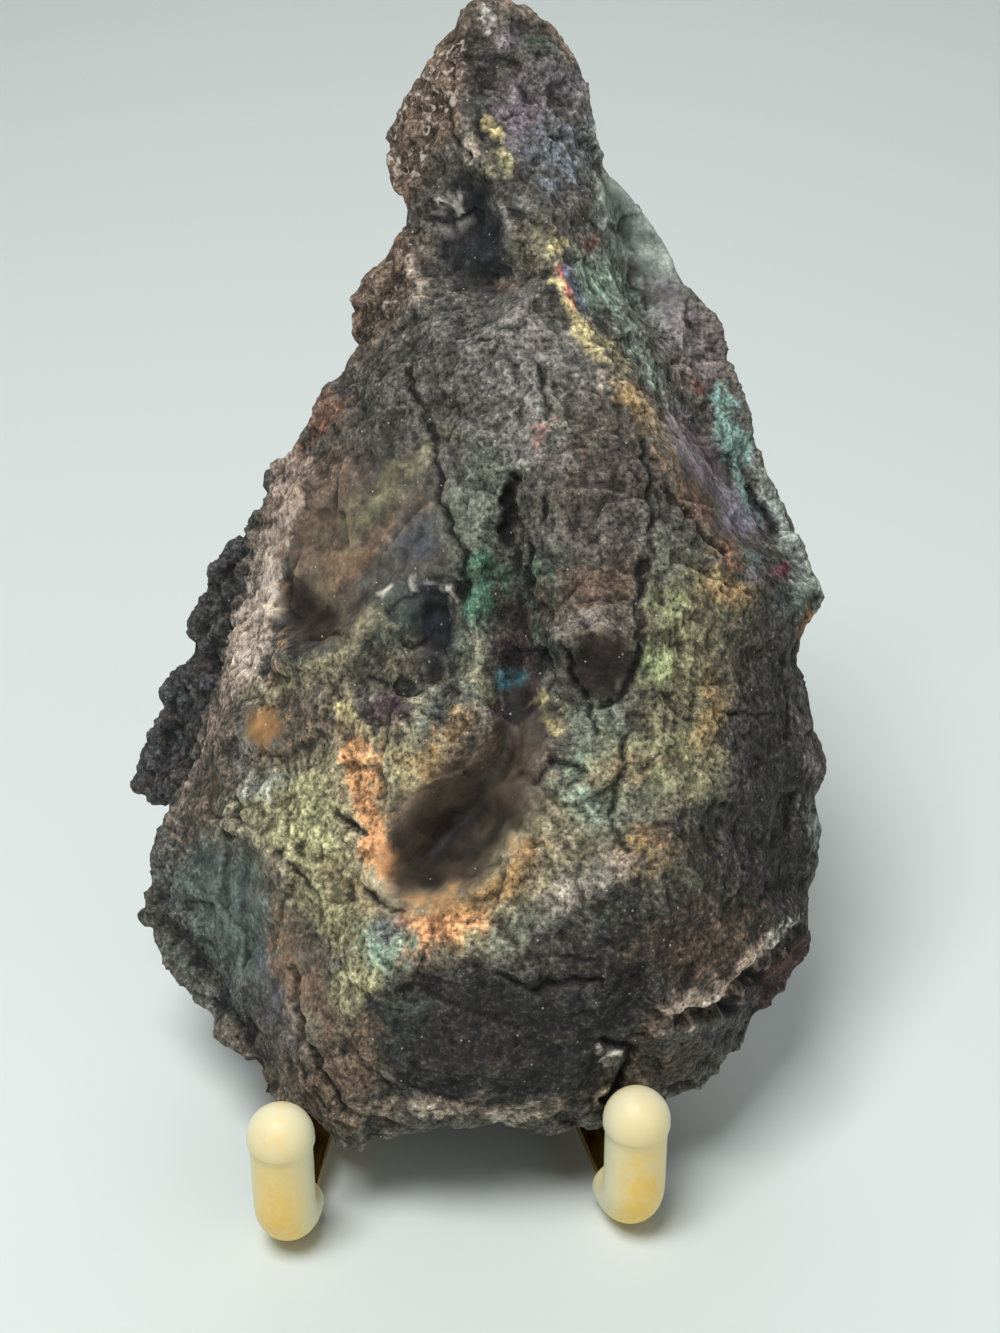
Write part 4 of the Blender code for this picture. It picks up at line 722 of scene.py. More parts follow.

# Open cracks of the front: half width and depth. Each is also painted darker, as painted shade inside it
CRACKS = (
    Crack((
        (-4.4, 64.6), (-3.6, 62.5), (-2.3, 59.6), (-1.6, 56.2), (-1.5, 53.8), (-0.5, 51.2),
        (0.6, 49.2), (0.4, 46.2),
    ), 0.22, 0.9),
    Crack(((4.5, 55.9), (4.2, 53.3), (4.1, 50.3)), 0.38, 1.5),
    Crack(((4.4, 50), (5.2, 47.9), (6, 45.4)), 0.2, 0.8),
    Crack(((6.5, 65.4), (7.2, 63.3), (7.5, 60.4)), 0.18, 0.7),
    Crack(((7.4, 53.9), (6.9, 52.1)), 0.22, 0.9),
    Crack(((6, 50), (6, 46.7)), 0.22, 0.9),
    Crack(((1.7, 67.1), (3.5, 67.9), (5.6, 68.2)), 0.16, 0.6),
    Crack(((15.3, 48.8), (15.2, 45.4), (15.4, 42.1), (14.7, 39.1), (13.2, 37.2), (11.9, 36.4)), 0.22, 1),
    Crack(((8.8, 41.8), (9.7, 38.8), (11, 36.6)), 0.2, 0.8),
    Crack(((11, 36.6), (11.5, 34.2)), 0.16, 0.6),
    Crack(((16.4, 38.1), (17.9, 36.8), (19.4, 35.2)), 0.16, 0.6),
    Crack(((14.9, 42.9), (16, 41.7)), 0.2, 0.8),
    Crack(((15.2, 58.8), (16, 56.2), (16.2, 51.2), (15.9, 47.9)), 0.18, 0.7),
    Crack(((17.5, 54.6), (20.2, 51.4), (22, 49.4)), 0.2, 0.8),
    Crack(((24.2, 54.9), (25.4, 53.1), (26.9, 51.1)), 0.24, 1),
    Crack(((13.9, 34.1), (13.7, 31.2), (12.7, 27.9), (13.4, 25.4), (14.2, 24.6)), 0.2, 0.8),
    Crack(((6.5, 30.4), (7.9, 32.1), (10.6, 31.2)), 0.2, 0.8),
    Crack(((-6, 44.4), (-4.6, 45.4), (-3.3, 46.2)), 0.16, 0.5),
    Crack(((-4.1, 41.7), (-2.5, 41.8)), 0.2, 0.6),
    Crack(((-7.1, 39.1), (-6.1, 38.4)), 0.18, 0.6),
    Crack(((-12.7, 42.2), (-9.8, 42.8)), 0.16, 0.5),
    Crack(((-10.3, 27.8), (-9.3, 27.1), (-8.1, 26.1)), 0.26, 1),
    Crack(((-7.6, 21.4), (-6.3, 20)), 0.24, 0.9),
    Crack(((-6.3, 20), (-4.6, 19.4)), 0.14, 0.5),
    Crack(((-15, 24.6), (-13.1, 22.4), (-11.8, 20.8)), 0.2, 0.8),
    Crack(((-13.8, 14.8), (-13.5, 11.2), (-12.5, 8.3), (-10.6, 5), (-9.4, 3.1)), 0.22, 0.9),
    Crack(((-18.6, 28.8), (-18.3, 26.9)), 0.22, 0.8),
    Crack(((3.5, 14.2), (6, 12.9), (9.8, 13.8), (11.9, 13.6)), 0.18, 0.8),
    Crack(((8.5, 15.8), (11.9, 15.4)), 0.14, 0.5),
    Crack(((12.4, 8.8), (14.4, 7.9), (13.7, 5.8), (12.2, 3.8)), 0.3, 1.2),
    Crack(((4.4, 90.4), (5.2, 90.2)), 0.16, 0.5),
    Crack(((7.7, 84), (9.4, 84.1)), 0.16, 0.5),
    Crack(((5.2, 87.9), (6, 87.1)), 0.16, 0.5),
    Crack(((10.2, 45.4), (15.2, 45.8)), 0.12, 0.4),
    Crack(((22.2, 36.1), (26, 35.8)), 0.14, 0.5),
    # The groove under the lower right ledge; its painted darkening makes a painted shadow line below the
    # ledge
    Crack((
        (18.4, 10.3), (20.5, 10.8), (22.8, 11.3), (23.4, 13.2), (25.6, 15.2), (27, 16.4), (28.7, 18.1),
    ), 0.42, 1.7),
    Crack(((-0.2, 90.4), (-0.8, 85.4), (1, 82.1)), 0.16, 0.5),
    Crack(((14.9, 71.7), (15.7, 69.6)), 0.14, 0.5),
    Crack(((18.9, 70.4), (19.4, 67.9)), 0.14, 0.5),
)

# Where the front broke smooth or hackly, and where it is knobby
SURFACE_AREAS = (
    Patch(Zone.SMOOTH, -0.2, 26.1, 8.4, 4.8, 45, 1), Patch(Zone.SMOOTH, 5.2, 34, 5.5, 2.2, 80, 0.8),
    Patch(Zone.SMOOTH, 11.9, 39.8, 3, 2.7, 0, 0.8), Patch(Zone.SMOOTH, 1.6, 75.7, 5.8, 2.7, -70, 0.55),
    Patch(Zone.SMOOTH, -8, 50, 9, 6.5, 45, 0.65), Patch(Zone.SMOOTH, -12.2, 44.6, 3.6, 3, -60, 0.85),
    Patch(Zone.SMOOTH, -2.3, 43.3, 3.2, 2, -80, 0.8), Patch(Zone.SMOOTH, 15.6, 74.5, 6.5, 2.4, -60, 0.6),
    Patch(Zone.SMOOTH, 13.2, 79.7, 1.3, 1.3, 0, 1), Patch(Zone.SMOOTH, -16.2, 34.6, 1.8, 1.5, 0, 0.9),
    Patch(Zone.SMOOTH, 3.5, 8.8, 10, 4.5, 0, 0.2),
    Patch(Zone.SMOOTH, -16.5, 17.5, 9, 3.6, -62, 0.4), Patch(Zone.SMOOTH, 21, 55, 7, 2, -58, 0.4),
    Patch(Zone.GRAINY, 5.5, 60.5, 8, 6, -40, 0.9), Patch(Zone.GRAINY, 14.5, 64, 6, 3, -50, 1),
    Patch(Zone.GRAINY, 15.5, 55, 8, 4.5, -65, 0.7), Patch(Zone.GRAINY, 20, 40, 8, 4, -80, 0.7),
    Patch(Zone.GRAINY, 10, 24, 8, 5, 30, 0.8), Patch(Zone.GRAINY, -9, 24, 10, 4, -60, 0.5),
    Patch(Zone.GRAINY, 5.5, 84, 9, 4.5, 85, 0.5), Patch(Zone.GRAINY, 20.5, 65, 6, 4, -60, 0.8),
    Patch(Zone.FLECKED, -3, 85.5, 9.5, 2.8, 65, 1), Patch(Zone.FLECKED, -6.5, 71, 6, 2.8, 62, 0.9),
    Patch(Zone.FLECKED, -0.5, 70.5, 4, 2.5, 0, 0.6), Patch(Zone.FLECKED, -16.6, 46, 10, 1.9, 70, 1),
    Patch(Zone.FLECKED, 2, 87, 6, 2, 80, 0.45), Patch(Zone.FLECKED, -21.5, 32, 5, 0.9, 62, 0.6),
    Patch(Zone.FLECKED, 0, 2.8, 9, 0.8, 0, 0.7), Patch(Zone.FLECKED, 9, 20.5, 3.5, 2, 30, 0.4),
    Patch(Zone.FLECKED, 6, 60, 4, 3, -30, 0.35), Patch(Zone.FLECKED, 12.5, 63.5, 2, 1.2, -40, 0.6),
)

# All of the above, as the stone takes them
BREAK_LINES = (
    SPIRE_EDGE, CREST, SLAB_FOOT, FRONT_RIDGE, FACET_TOP, ARM_RIDGE, GROOVE, WEDGE_TOP, WEDGE_BROW,
    WEDGE_TIP, PIT_RIM, PIT_SHOULDER, PIT_CREASE, YELLOW_RIDGE, LEDGE, FOOT_GROOVE, LIP,
    LOWER_LEFT_EDGE, BACK_BAND_EDGE, WHITE_EDGE, CRUST_EDGE,
)
FRONT_POINTS = (
    SPIRE_POINTS + SLAB_POINTS + COLUMN_POINTS + LEFT_POINTS + MIDDLE_POINTS + RIGHT_POINTS
    + LOWER_POINTS + CRUST_POINTS
)
TARNISH_AND_PAINTED_SHADE = (
    GROUND + SPIRE_TARNISH + SLAB_TARNISH + COLUMN_TARNISH + LEFT_TARNISH + HOLLOW_TARNISH + PIT_TARNISH_AND_SHADE
    + MIDDLE_TARNISH_AND_SHADE + LOWER_TARNISH_AND_SHADE + LOWER_LEFT_TARNISH + TARNISH_AND_SHADE_STREAKS
)


def set_node(
    tree: Tree, kind: str, inputs: dict[str | int, object], **settings: object
) -> bpy.types.Node:
    """Adds a node, sets it up and links it.

    Args:
        tree: The node tree that it goes into.
        kind: Blender's name for the kind of node, less the "ShaderNode" before it.
        inputs: A value, or another node's output to link, for each named or numbered input.
        **settings: The node's own properties.

    Returns:
        The new node.
    """
    made = tree.nodes.new("ShaderNode" + kind)
    for name, value in settings.items():
        setattr(made, name, value)
    for key, value in inputs.items():
        if isinstance(value, Socket):
            tree.links.new(value, made.inputs[key])
        else:
            made.inputs[key].default_value = value
    return made


def per_metre(size_mm: float) -> float:
    """Gives a texture's scale for a pattern whose real size is in millimetres."""
    return 1.0 / (size_mm * MM)


def new_material(name: str) -> tuple[bpy.types.Material, Tree, bpy.types.Node]:
    """Makes an empty node material.

    Args:
        name: What the real material is.

    Returns:
        The material, its node tree and its shader node.
    """
    made = bpy.data.materials.new(name)
    made.use_nodes = True
    return made, made.node_tree, made.node_tree.nodes["Principled BSDF"]


def link_mesh(
    name: str, verts: Sequence[Sequence[float]], faces: Sequence[Sequence[int]]
) -> bpy.types.Object:
    """Links a closed mesh in metres, with its faces turned outwards and smooth.

    Args:
        name: The piece's name.
        verts: Its vertices.
        faces: Its faces, as vertex numbers.

    Returns:
        The new object.
    """
    mesh = bpy.data.meshes.new(name)
    mesh.from_pydata([tuple(v) for v in verts], [], faces)
    bm = bmesh.new()
    bm.from_mesh(mesh)
    bmesh.ops.recalc_face_normals(bm, faces=bm.faces)
    bm.to_mesh(mesh)
    bm.free()
    mesh.polygons.foreach_set("use_smooth", [True] * len(mesh.polygons))
    piece = bpy.data.objects.new(name, mesh)
    bpy.context.scene.collection.objects.link(piece)
    return piece


def seat_piece(piece: bpy.types.Object, node: str) -> bpy.types.Object:
    """Puts a finished piece on its body, in place of its solid, with its material slot.

    Args:
        piece: The piece.
        node: The solid that it stands for.

    Returns:
        The same piece.
    """
    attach(piece, BODY)
    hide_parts(node)
    log.info("%s: %d faces", piece.name, len(piece.data.polygons))
    return piece


@dataclass(frozen=True)
class TarnishedLimonite:
    """Limonite broken by hand: earthy rock under interference films a few hundred nanometres thick.

    The films follow every grain, so their colour is broken up by the grain, with painted light on the
    crests and painted shade in the hollows and cracks. The real grain is finer than 0.1 mm and is drawn
    as coarse as it needs to show.
    """

    roughness: float = 0.78
    polished_roughness: float = 0.68
    gloss: float = 0.35
    mottle_mm: float = 2.4
    mottle_shades: Spot = (0.64, 1.2)
    grain_mm: float = 0.4
    grain_shades: Spot = (0.15, 1.9)
    film_mm: float = 1.9
    film_loss: float = 0.6
    speck_mm: float = 0.75
    fine_grain_mm: float = 0.22
    bump_depth_mm: float = 0.1
    fleck: str = "#c8bbae"
    fleck_level: float = 0.53
    # Colour of the small painted highlights, laid as glinting specks.
    painted_glint: str = "#e2dcd2"
    # Pale colour added on grain crests: dust, and painted sheen there.
    dust: str = "#7d7871"
    dust_and_sheen_share: float = 0.28

    def material(self) -> bpy.types.Material:
        """Builds the material, which reads the stone's own tint, fleck and polish marks and its painted
        shading mark.
        """
        made, tree, shader = new_material("limonite, broken face with thin tarnish films")
        spots = set_node(tree, "TexCoord", {}).outputs["Object"]
        marks = {
            name: set_node(tree, "Attribute", {}, attribute_name=name).outputs[output]
            for name, output in (("tint", "Color"), ("fleck", "Fac"), ("polish", "Fac"), ("painted_shading", "Fac"))
        }
        rough = set_node(
            tree, "MapRange",
            {"Value": marks["polish"], "To Min": self.roughness, "To Max": self.polished_roughness},
        )
        tree.links.new(self.speckled(tree, spots, marks), shader.inputs["Base Color"])
        tree.links.new(rough.outputs["Result"], shader.inputs["Roughness"])
        tree.links.new(self.bump(tree, spots, marks["polish"]), shader.inputs["Normal"])
        shader.inputs["Specular IOR Level"].default_value = self.gloss
        return made

    def grained(self, tree: Tree, spots: Socket, marks: dict[str, Socket]) -> Socket:
        """Breaks the tint up with mottling, grain, worn films, the painted shading mark, and pale dust with
        painted sheen on the crests.

        Args:
            tree: The material's node tree.
            spots: Object coordinates.
            marks: The stone's own marks.

        Returns:
            The colour.
        """
        mottle = set_node(
            tree, "TexNoise", {"Vector": spots, "Scale": per_metre(self.mottle_mm), "Detail": 4.0}
        )
        grain = set_node(
            tree, "TexNoise",
            {"Vector": spots, "Scale": per_metre(self.grain_mm), "Detail": 5.0, "Roughness": 0.65},
        ).outputs["Fac"]
        film = set_node(
            tree, "TexNoise",
            {"Vector": spots, "Scale": per_metre(self.film_mm), "Detail": 6.0, "Roughness": 0.7},
        )
        low, high = self.mottle_shades
        wide = set_node(
            tree, "MapRange",
            {"Value": mottle.outputs["Fac"], "From Min": 0.3, "From Max": 0.7, "To Min": low, "To Max": high},
        )
        low, high = self.grain_shades
        close = set_node(
            tree, "MapRange",
            {"Value": grain, "From Min": 0.33, "From Max": 0.67, "To Min": low, "To Max": high},
        )
        calm = set_node(tree, "Mix", {0: marks["polish"], 2: close.outputs["Result"], 3: 1.0})
        both = set_node(tree, "Math", {0: wide.outputs["Result"], 1: calm.outputs[0]}, operation="MULTIPLY")
        # Painted shading from the stone's mark: hollows and cracks painted darker, crests painted lighter.
        shade = set_node(tree, "Math", {0: both.outputs[0], 1: marks["painted_shading"]}, operation="MULTIPLY")
        plain = set_node(
            tree, "MapRange", {"Value": marks["polish"], "To Min": 1.0, "To Max": 0.15}
        ).outputs["Result"]
        lost = set_node(
            tree, "MapRange",
            {"Value": film.outputs["Fac"], "From Min": 0.5, "From Max": 0.66, "To Max": self.film_loss},
        )
        worn = set_node(tree, "Math", {0: lost.outputs["Result"], 1: plain}, operation="MULTIPLY")
        bare = set_node(
            tree, "Mix", {0: worn.outputs[0], 6: marks["tint"], 7: linear(Tone.WORN.value)},
            data_type="RGBA",
        )
        toned = set_node(
            tree, "VectorMath", {0: bare.outputs[2], "Scale": shade.outputs[0]}, operation="SCALE"
        ).outputs[0]
        # Dust and painted sheen: grain crests are painted toward a pale colour, more where the painted
        # shading is light.
        crest = set_node(
            tree, "MapRange", {"Value": grain, "From Min": 0.54, "From Max": 0.7, "To Max": self.dust_and_sheen_share}
        )
        raised = set_node(
            tree, "Math", {0: crest.outputs["Result"], 1: marks["painted_shading"]}, operation="MULTIPLY"
        )
        kept = set_node(tree, "Math", {0: raised.outputs[0], 1: plain}, operation="MULTIPLY")
        dusty = set_node(tree, "VectorMath", {0: toned, 1: linear(self.dust)[:3]}, operation="ADD")
        dust_and_sheen_on_crests = set_node(
            tree, "Mix", {0: kept.outputs[0], 6: toned, 7: dusty.outputs[0]}, data_type="RGBA"
        )
        return dust_and_sheen_on_crests.outputs[2]

    def speckled(self, tree: Tree, spots: Socket, marks: dict[str, Socket]) -> Socket:
        """Adds pale flecks and a few painted highlights, small glinting specks, to the grained colour.

        Args:
            tree: The material's node tree.
            spots: Object coordinates.
            marks: The stone's own marks.

        Returns:
            The colour.
        """
        speck = set_node(
            tree, "TexNoise",
            {"Vector": spots, "Scale": per_metre(self.speck_mm), "Detail": 3.0, "Distortion": 0.6},
        )
        reach = set_node(
            tree, "Math", {0: speck.outputs["Fac"], 1: marks["fleck"], 2: -self.fleck_level},
            operation="MULTIPLY_ADD",
        )
        shown = set_node(
            tree, "MapRange", {"Value": reach.outputs[0], "From Min": 0.0, "From Max": 0.13, "To Max": 0.85}
        )
        flecked = set_node(
            tree, "Mix",
            {0: shown.outputs["Result"], 6: self.grained(tree, spots, marks), 7: linear(self.fleck)},
            data_type="RGBA",
        )
        # Painted highlights: a few small cells are painted a pale colour, as glinting specks.
        cells = set_node(tree, "TexVoronoi", {"Vector": spots, "Scale": per_metre(self.speck_mm * 0.9)})
        painted_glints = set_node(
            tree, "MapRange",
            {"Value": cells.outputs["Distance"], "From Min": 0.16, "From Max": 0.08, "To Max": 0.55},
        )
        rare = set_node(
            tree, "MapRange", {"Value": cells.outputs["Color"], "From Min": 0.72, "From Max": 0.8}
        )
        few = set_node(
            tree, "Math", {0: painted_glints.outputs["Result"], 1: rare.outputs["Result"]}, operation="MULTIPLY"
        )
        lit = set_node(
            tree, "Mix", {0: few.outputs[0], 6: flecked.outputs[2], 7: linear(self.painted_glint)},
            data_type="RGBA",
        )
        return lit.outputs[2]

    def bump(self, tree: Tree, spots: Socket, polish: Socket) -> Socket:
        """Adds the grain that is finer than the mesh.

        Args:
            tree: The material's node tree.
            spots: Object coordinates.
            polish: Where the rock broke smooth.

        Returns:
            The bent normal.
        """
        strength = set_node(
            tree, "MapRange", {"Value": polish, "To Min": 1.0, "To Max": 0.3}
        ).outputs["Result"]
        coarse = set_node(
            tree, "TexNoise",
            {"Vector": spots, "Scale": per_metre(self.grain_mm * 1.4), "Detail": 3.0, "Roughness": 0.6},
        ).outputs["Fac"]
        fine = set_node(
            tree, "TexNoise",
            {"Vector": spots, "Scale": per_metre(self.fine_grain_mm), "Detail": 4.0, "Roughness": 0.7},
        ).outputs["Fac"]
        depth = 2.5 * self.bump_depth_mm * MM
        bent = set_node(tree, "Bump", {"Height": coarse, "Strength": strength, "Distance": depth})
        relief = {"Height": fine, "Distance": self.bump_depth_mm * MM, "Normal": bent.outputs["Normal"]}
        return set_node(tree, "Bump", {**relief, "Strength": strength}).outputs["Normal"]


@dataclass(frozen=True)
class PolishedBrass:
    """Brass strip, sheared, bent and buffed: a warm mirror with fine lengthwise scratches.

    The real scratches are finer than 0.1 mm and are drawn as coarse as they need to show.
    """

    colour: str = "#d9b45c"
    worn: str = "#b98f3e"
    blotch_mm: float = 6.0
    roughness: float = 0.16
    scratch_mm: float = 0.25
    scratch_depth_mm: float = 0.02

    def material(self) -> bpy.types.Material:
        """Builds the material."""
        made, tree, shader = new_material("brass, buffed strip")
        spots = set_node(tree, "TexCoord", {}).outputs["Object"]
        blotch = set_node(
            tree, "TexNoise", {"Vector": spots, "Scale": per_metre(self.blotch_mm), "Detail": 3.0}
        )
        drawn = set_node(tree, "Mapping", {"Vector": spots, "Scale": (1.0, 0.06, 0.06)})
        scratch = set_node(
            tree, "TexNoise",
            {"Vector": drawn.outputs[0], "Scale": per_metre(self.scratch_mm), "Detail": 2.0},
        ).outputs["Fac"]
        toned = set_node(
            tree, "Mix", {0: blotch.outputs["Fac"], 6: linear(self.colour), 7: linear(self.worn)},
            data_type="RGBA",
        )
        rough = set_node(
            tree, "MapRange",
            {"Value": scratch, "To Min": self.roughness * 0.6, "To Max": self.roughness * 1.8},
        )
        bent = set_node(
            tree, "Bump", {"Height": scratch, "Strength": 0.12, "Distance": self.scratch_depth_mm * MM}
        )
        shader.inputs["Metallic"].default_value = 1.0
        tree.links.new(toned.outputs[2], shader.inputs["Base Color"])
        tree.links.new(rough.outputs["Result"], shader.inputs["Roughness"])
        tree.links.new(bent.outputs["Normal"], shader.inputs["Normal"])
        return made


@dataclass(frozen=True)
class FrostedSilicone:
    """Moulded silicone rubber: milky at the rim, warm where the brass inside shows through."""

    rim: str = "#efe7c4"
    core: str = "#f5cd66"
    dust: str = "#8f8157"
    roughness: float = 0.48
    cloud_mm: float = 1.6
    dust_mm: float = 1.3
    frost_mm: float = 0.3
    frost_depth_mm: float = 0.05
    scatter: float = 0.55
    scatter_mm: float = 1.2

    def material(self) -> bpy.types.Material:
        """Builds the material, which reads how near the brass is from the sleeve's own core mark."""
        made, tree, shader = new_material("silicone rubber, moulded and frosted")
        spots = set_node(tree, "TexCoord", {}).outputs["Object"]
        core = set_node(tree, "Attribute", {}, attribute_name="core").outputs["Fac"]
        cloud = set_node(
            tree, "TexNoise",
            {"Vector": spots, "Scale": per_metre(self.cloud_mm), "Detail": 6.0, "Roughness": 0.75},
        )
        uneven = set_node(
            tree, "MapRange",
            {"Value": cloud.outputs["Fac"], "From Min": 0.3, "From Max": 0.7, "To Min": 0.5, "To Max": 1.4},
        )
        amount = set_node(tree, "Math", {0: core, 1: uneven.outputs["Result"]}, operation="MULTIPLY")
        toned = set_node(
            tree, "Mix", {0: amount.outputs[0], 6: linear(self.rim), 7: linear(self.core)},
            data_type="RGBA",
        )
        cells = set_node(tree, "TexVoronoi", {"Vector": spots, "Scale": per_metre(self.dust_mm)})
        speck = set_node(
            tree, "MapRange",
            {"Value": cells.outputs["Distance"], "From Min": 0.05, "From Max": 0.03, "To Max": 0.3},
        )
        dusty = set_node(
            tree, "Mix", {0: speck.outputs["Result"], 6: toned.outputs[2], 7: linear(self.dust)},
            data_type="RGBA",
        )
        frost = set_node(
            tree, "TexNoise", {"Vector": spots, "Scale": per_metre(self.frost_mm), "Detail": 2.0}
        ).outputs["Fac"]
        bent = set_node(
            tree, "Bump", {"Height": frost, "Strength": 0.15, "Distance": self.frost_depth_mm * MM}
        )
        tree.links.new(dusty.outputs[2], shader.inputs["Base Color"])
        tree.links.new(bent.outputs["Normal"], shader.inputs["Normal"])
        shader.inputs["Roughness"].default_value = self.roughness
        shader.inputs["Subsurface Weight"].default_value = self.scatter
        shader.inputs["Subsurface Radius"].default_value = (1.0, 0.8, 0.4)
        shader.inputs["Subsurface Scale"].default_value = self.scatter_mm * MM
        return made


@dataclass(frozen=True)
class Stance:
    """Where the stone's own frame stands in the row frame."""

    lean_deg: float = 30.0
    yaw_deg: float = -4.0
    seat: Point = (0.15, 0.0, 4.1)
    shift: Spot = (-3.29, -27.76)

    def matrix(self) -> Matrix:
        """Gives the placing, in millimetres."""
        spot = Vector((self.seat[0] + self.shift[0], self.seat[1] + self.shift[1], self.seat[2]))
        yaw = Matrix.Rotation(math.radians(self.yaw_deg), 4, "Z")
        return Matrix.Translation(spot) @ yaw @ Matrix.Rotation(math.radians(-self.lean_deg), 4, "X")


@dataclass
class LimoniteStone:
    """The specimen: one natural piece with a broken, tarnished front and a porous grown back.

    The reliefs are pairs of a size and a height, in millimetres.
    """

    stance: Stance
    finish: TarnishedLimonite = field(default_factory=TarnishedLimonite)
    cell: float = 0.27
    most_triangles: int = 192000
    back_depth: float = 0.85
    rim_half: float = 0.8
    rim_margin: float = 0.12
    eye: Point = EYE
    crust_from: float = 6.0
    crust_full: float = 9.5
    crust_back: float = 13.0
    crust_edge: Spot = (-16.0, -12.0)
    seed: int = 5
    easing_rounds: int = 50
    easing_rate: float = 0.5
    easing_least: float = 0.025
    smooth_calm: float = 0.9
    smooth_bulk_calm: float = 0.45
    grain_everywhere: float = 0.75
    grain_more: float = 0.9
    spike_mm: float = 0.17
    spike_rounds: int = 4
    hollow_rate: float = 4.5
    hollow_shades: Spot = (0.25, 1.7)
    crack_rate: float = 1.6
    crack_shade: float = 0.85
    warp_mm: float = 0.75
    warp_size: float = 2.8
    fine_warp_size: float = 0.9
    ragged_mm: float = 0.85
    ragged_size: float = 1.6
    mottle_size: float = 0.7
    film_share: float = 0.92
    crust_cover: float = 0.95
    colourfulness: float = 0.8
    haze: Point = (1.03, 1.0, 0.88)
    hackles: tuple[Spot, ...] = ((6.5, 0.5), (2.6, 0.2), (1.2, 0.1))
    grains: tuple[Spot, ...] = ((1.2, 0.1), (0.55, 0.13))
    fleck_knobs: tuple[Spot, ...] = ((1.5, 0.22),)
    crust_knobs: tuple[Spot, ...] = ((1.5, 0.5), (0.8, 0.5))

    def build(self) -> bpy.types.Object:
        """Makes the mesh, marks and dresses it."""
        noise.seed_set(self.seed)
        spots, faces = self.even_mesh()
        spots = self.eased(spots, faces)
        spots, faces = self.thinned(self.roughened(spots, faces), faces)
        place = np.array(self.stance.matrix())
        world = (spots @ place[:3, :3].T + place[:3, 3]) * MM
        stone = link_mesh("limonite_stone", world, faces)
        normals = self.normals_of(stone.data) @ place[:3, :3]
        self.mark(stone.data, spots, normals)
        stone.data.materials.append(self.finish.material())
        return seat_piece(stone, "limonite")

    def sheet(self, rim: list[Point], lines: Sequence[Sequence[Point]], points: Sequence[Point]) -> Sheet:
        """Triangulates an outline with its inner lines and single heights.

        Args:
            rim: The outline, counterclockwise, as (across, up, away).
            lines: Lines that the surface breaks along.
            points: Single heights.

        Returns:
            Vertices as (across, away, up), and triangles.
        """
        known = list(rim)
        edges: list[tuple[int, int]] = []
        for line in lines:
            start = len(known)
            known.extend(line)
            edges.extend((start + i, start + i + 1) for i in range(len(line) - 1))
        known.extend(points)
        flat = [Vector((x, z)) for x, z, _ in known]
        loop = list(range(len(rim)))
        placed, _, triangles, sources, _, _ = delaunay_2d_cdt(flat, edges, [loop], 1, MERGE_MM)
        verts = []
        for spot, source in zip(placed, sources):
            if source:
                depth = known[source[0]][2]
            else:
                depth = min(known, key=lambda p: (p[0] - spot.x) ** 2 + (p[1] - spot.y) ** 2)[2]
            verts.append((spot.x, depth, spot.y))
        return verts, triangles

    def cage(self) -> Sheet:
        """Closes a front and a back sheet with a narrow band along the outline."""
        outline = (PEAK_RIM + SLAB_RIM + RIGHT_RIM + FOOT_RIM + LEFT_RIM + CRUST_RIM + UPPER_LEFT_RIM)[::-1]
        rim = []
        for i, (x, z, y) in enumerate(outline):
            before = Vector(outline[i - 1][:2])
            after = Vector(outline[(i + 1) % len(outline)][:2])
            along = (after - before).normalized()
            rim.append((x + along.y * self.rim_margin, z - along.x * self.rim_margin, y))
        near = [(x, z, y - self.rim_half) for x, z, y in rim]
        far = [(x, z, y + self.rim_half) for x, z, y in rim]
        verts, faces = self.sheet(near, BREAK_LINES, FRONT_POINTS)
        back_points = tuple((x, z, y * self.back_depth) for x, z, y in BACK_POINTS)
        back_verts, back_faces = self.sheet(far, (), back_points)
        start = len(verts)
        verts.extend(back_verts)
        faces.extend(tuple(start + i for i in face[::-1]) for face in back_faces)
        start = len(verts)
        verts.extend((x, y, z) for x, z, y in near + far)
        for i in range(len(rim)):
            j = (i + 1) % len(rim)
            faces.append((start + i, start + len(rim) + i, start + len(rim) + j, start + j))
        return verts, faces

    def even_mesh(self) -> tuple[np.ndarray, Faces]:
        """Evens the cage out into small cells and keeps its main body."""
        verts, faces = self.cage()
        cage = link_mesh("cage", [Vector(v) * MM for v in verts], faces)
        bm = bmesh.new()
        bm.from_mesh(cage.data)
        bmesh.ops.remove_doubles(bm, verts=bm.verts, dist=WELD_MM * MM)
        bmesh.ops.recalc_face_normals(bm, faces=bm.faces)
        bm.to_mesh(cage.data)
        bm.free()
        even = cage.modifiers.new("even", "REMESH")
        even.mode = "VOXEL"
        even.voxel_size = self.cell * MM
        spots, corners = self.evaluated(cage)
        return self.main_body(spots / MM, corners)

    @staticmethod
    def evaluated(piece: bpy.types.Object) -> tuple[np.ndarray, Faces]:
        """Reads the mesh that an object's modifiers make, and removes the object.

        Args:
            piece: The object.

        Returns:
            The mesh's points and faces.
        """
        graph = bpy.context.evaluated_depsgraph_get()
        mesh = bpy.data.meshes.new_from_object(piece.evaluated_get(graph))
        bpy.data.objects.remove(piece)
        spots = np.empty(len(mesh.vertices) * 3)
        mesh.vertices.foreach_get("co", spots)
        corners = [tuple(face.vertices) for face in mesh.polygons]
        bpy.data.meshes.remove(mesh)
        return spots.reshape(-1, 3), corners

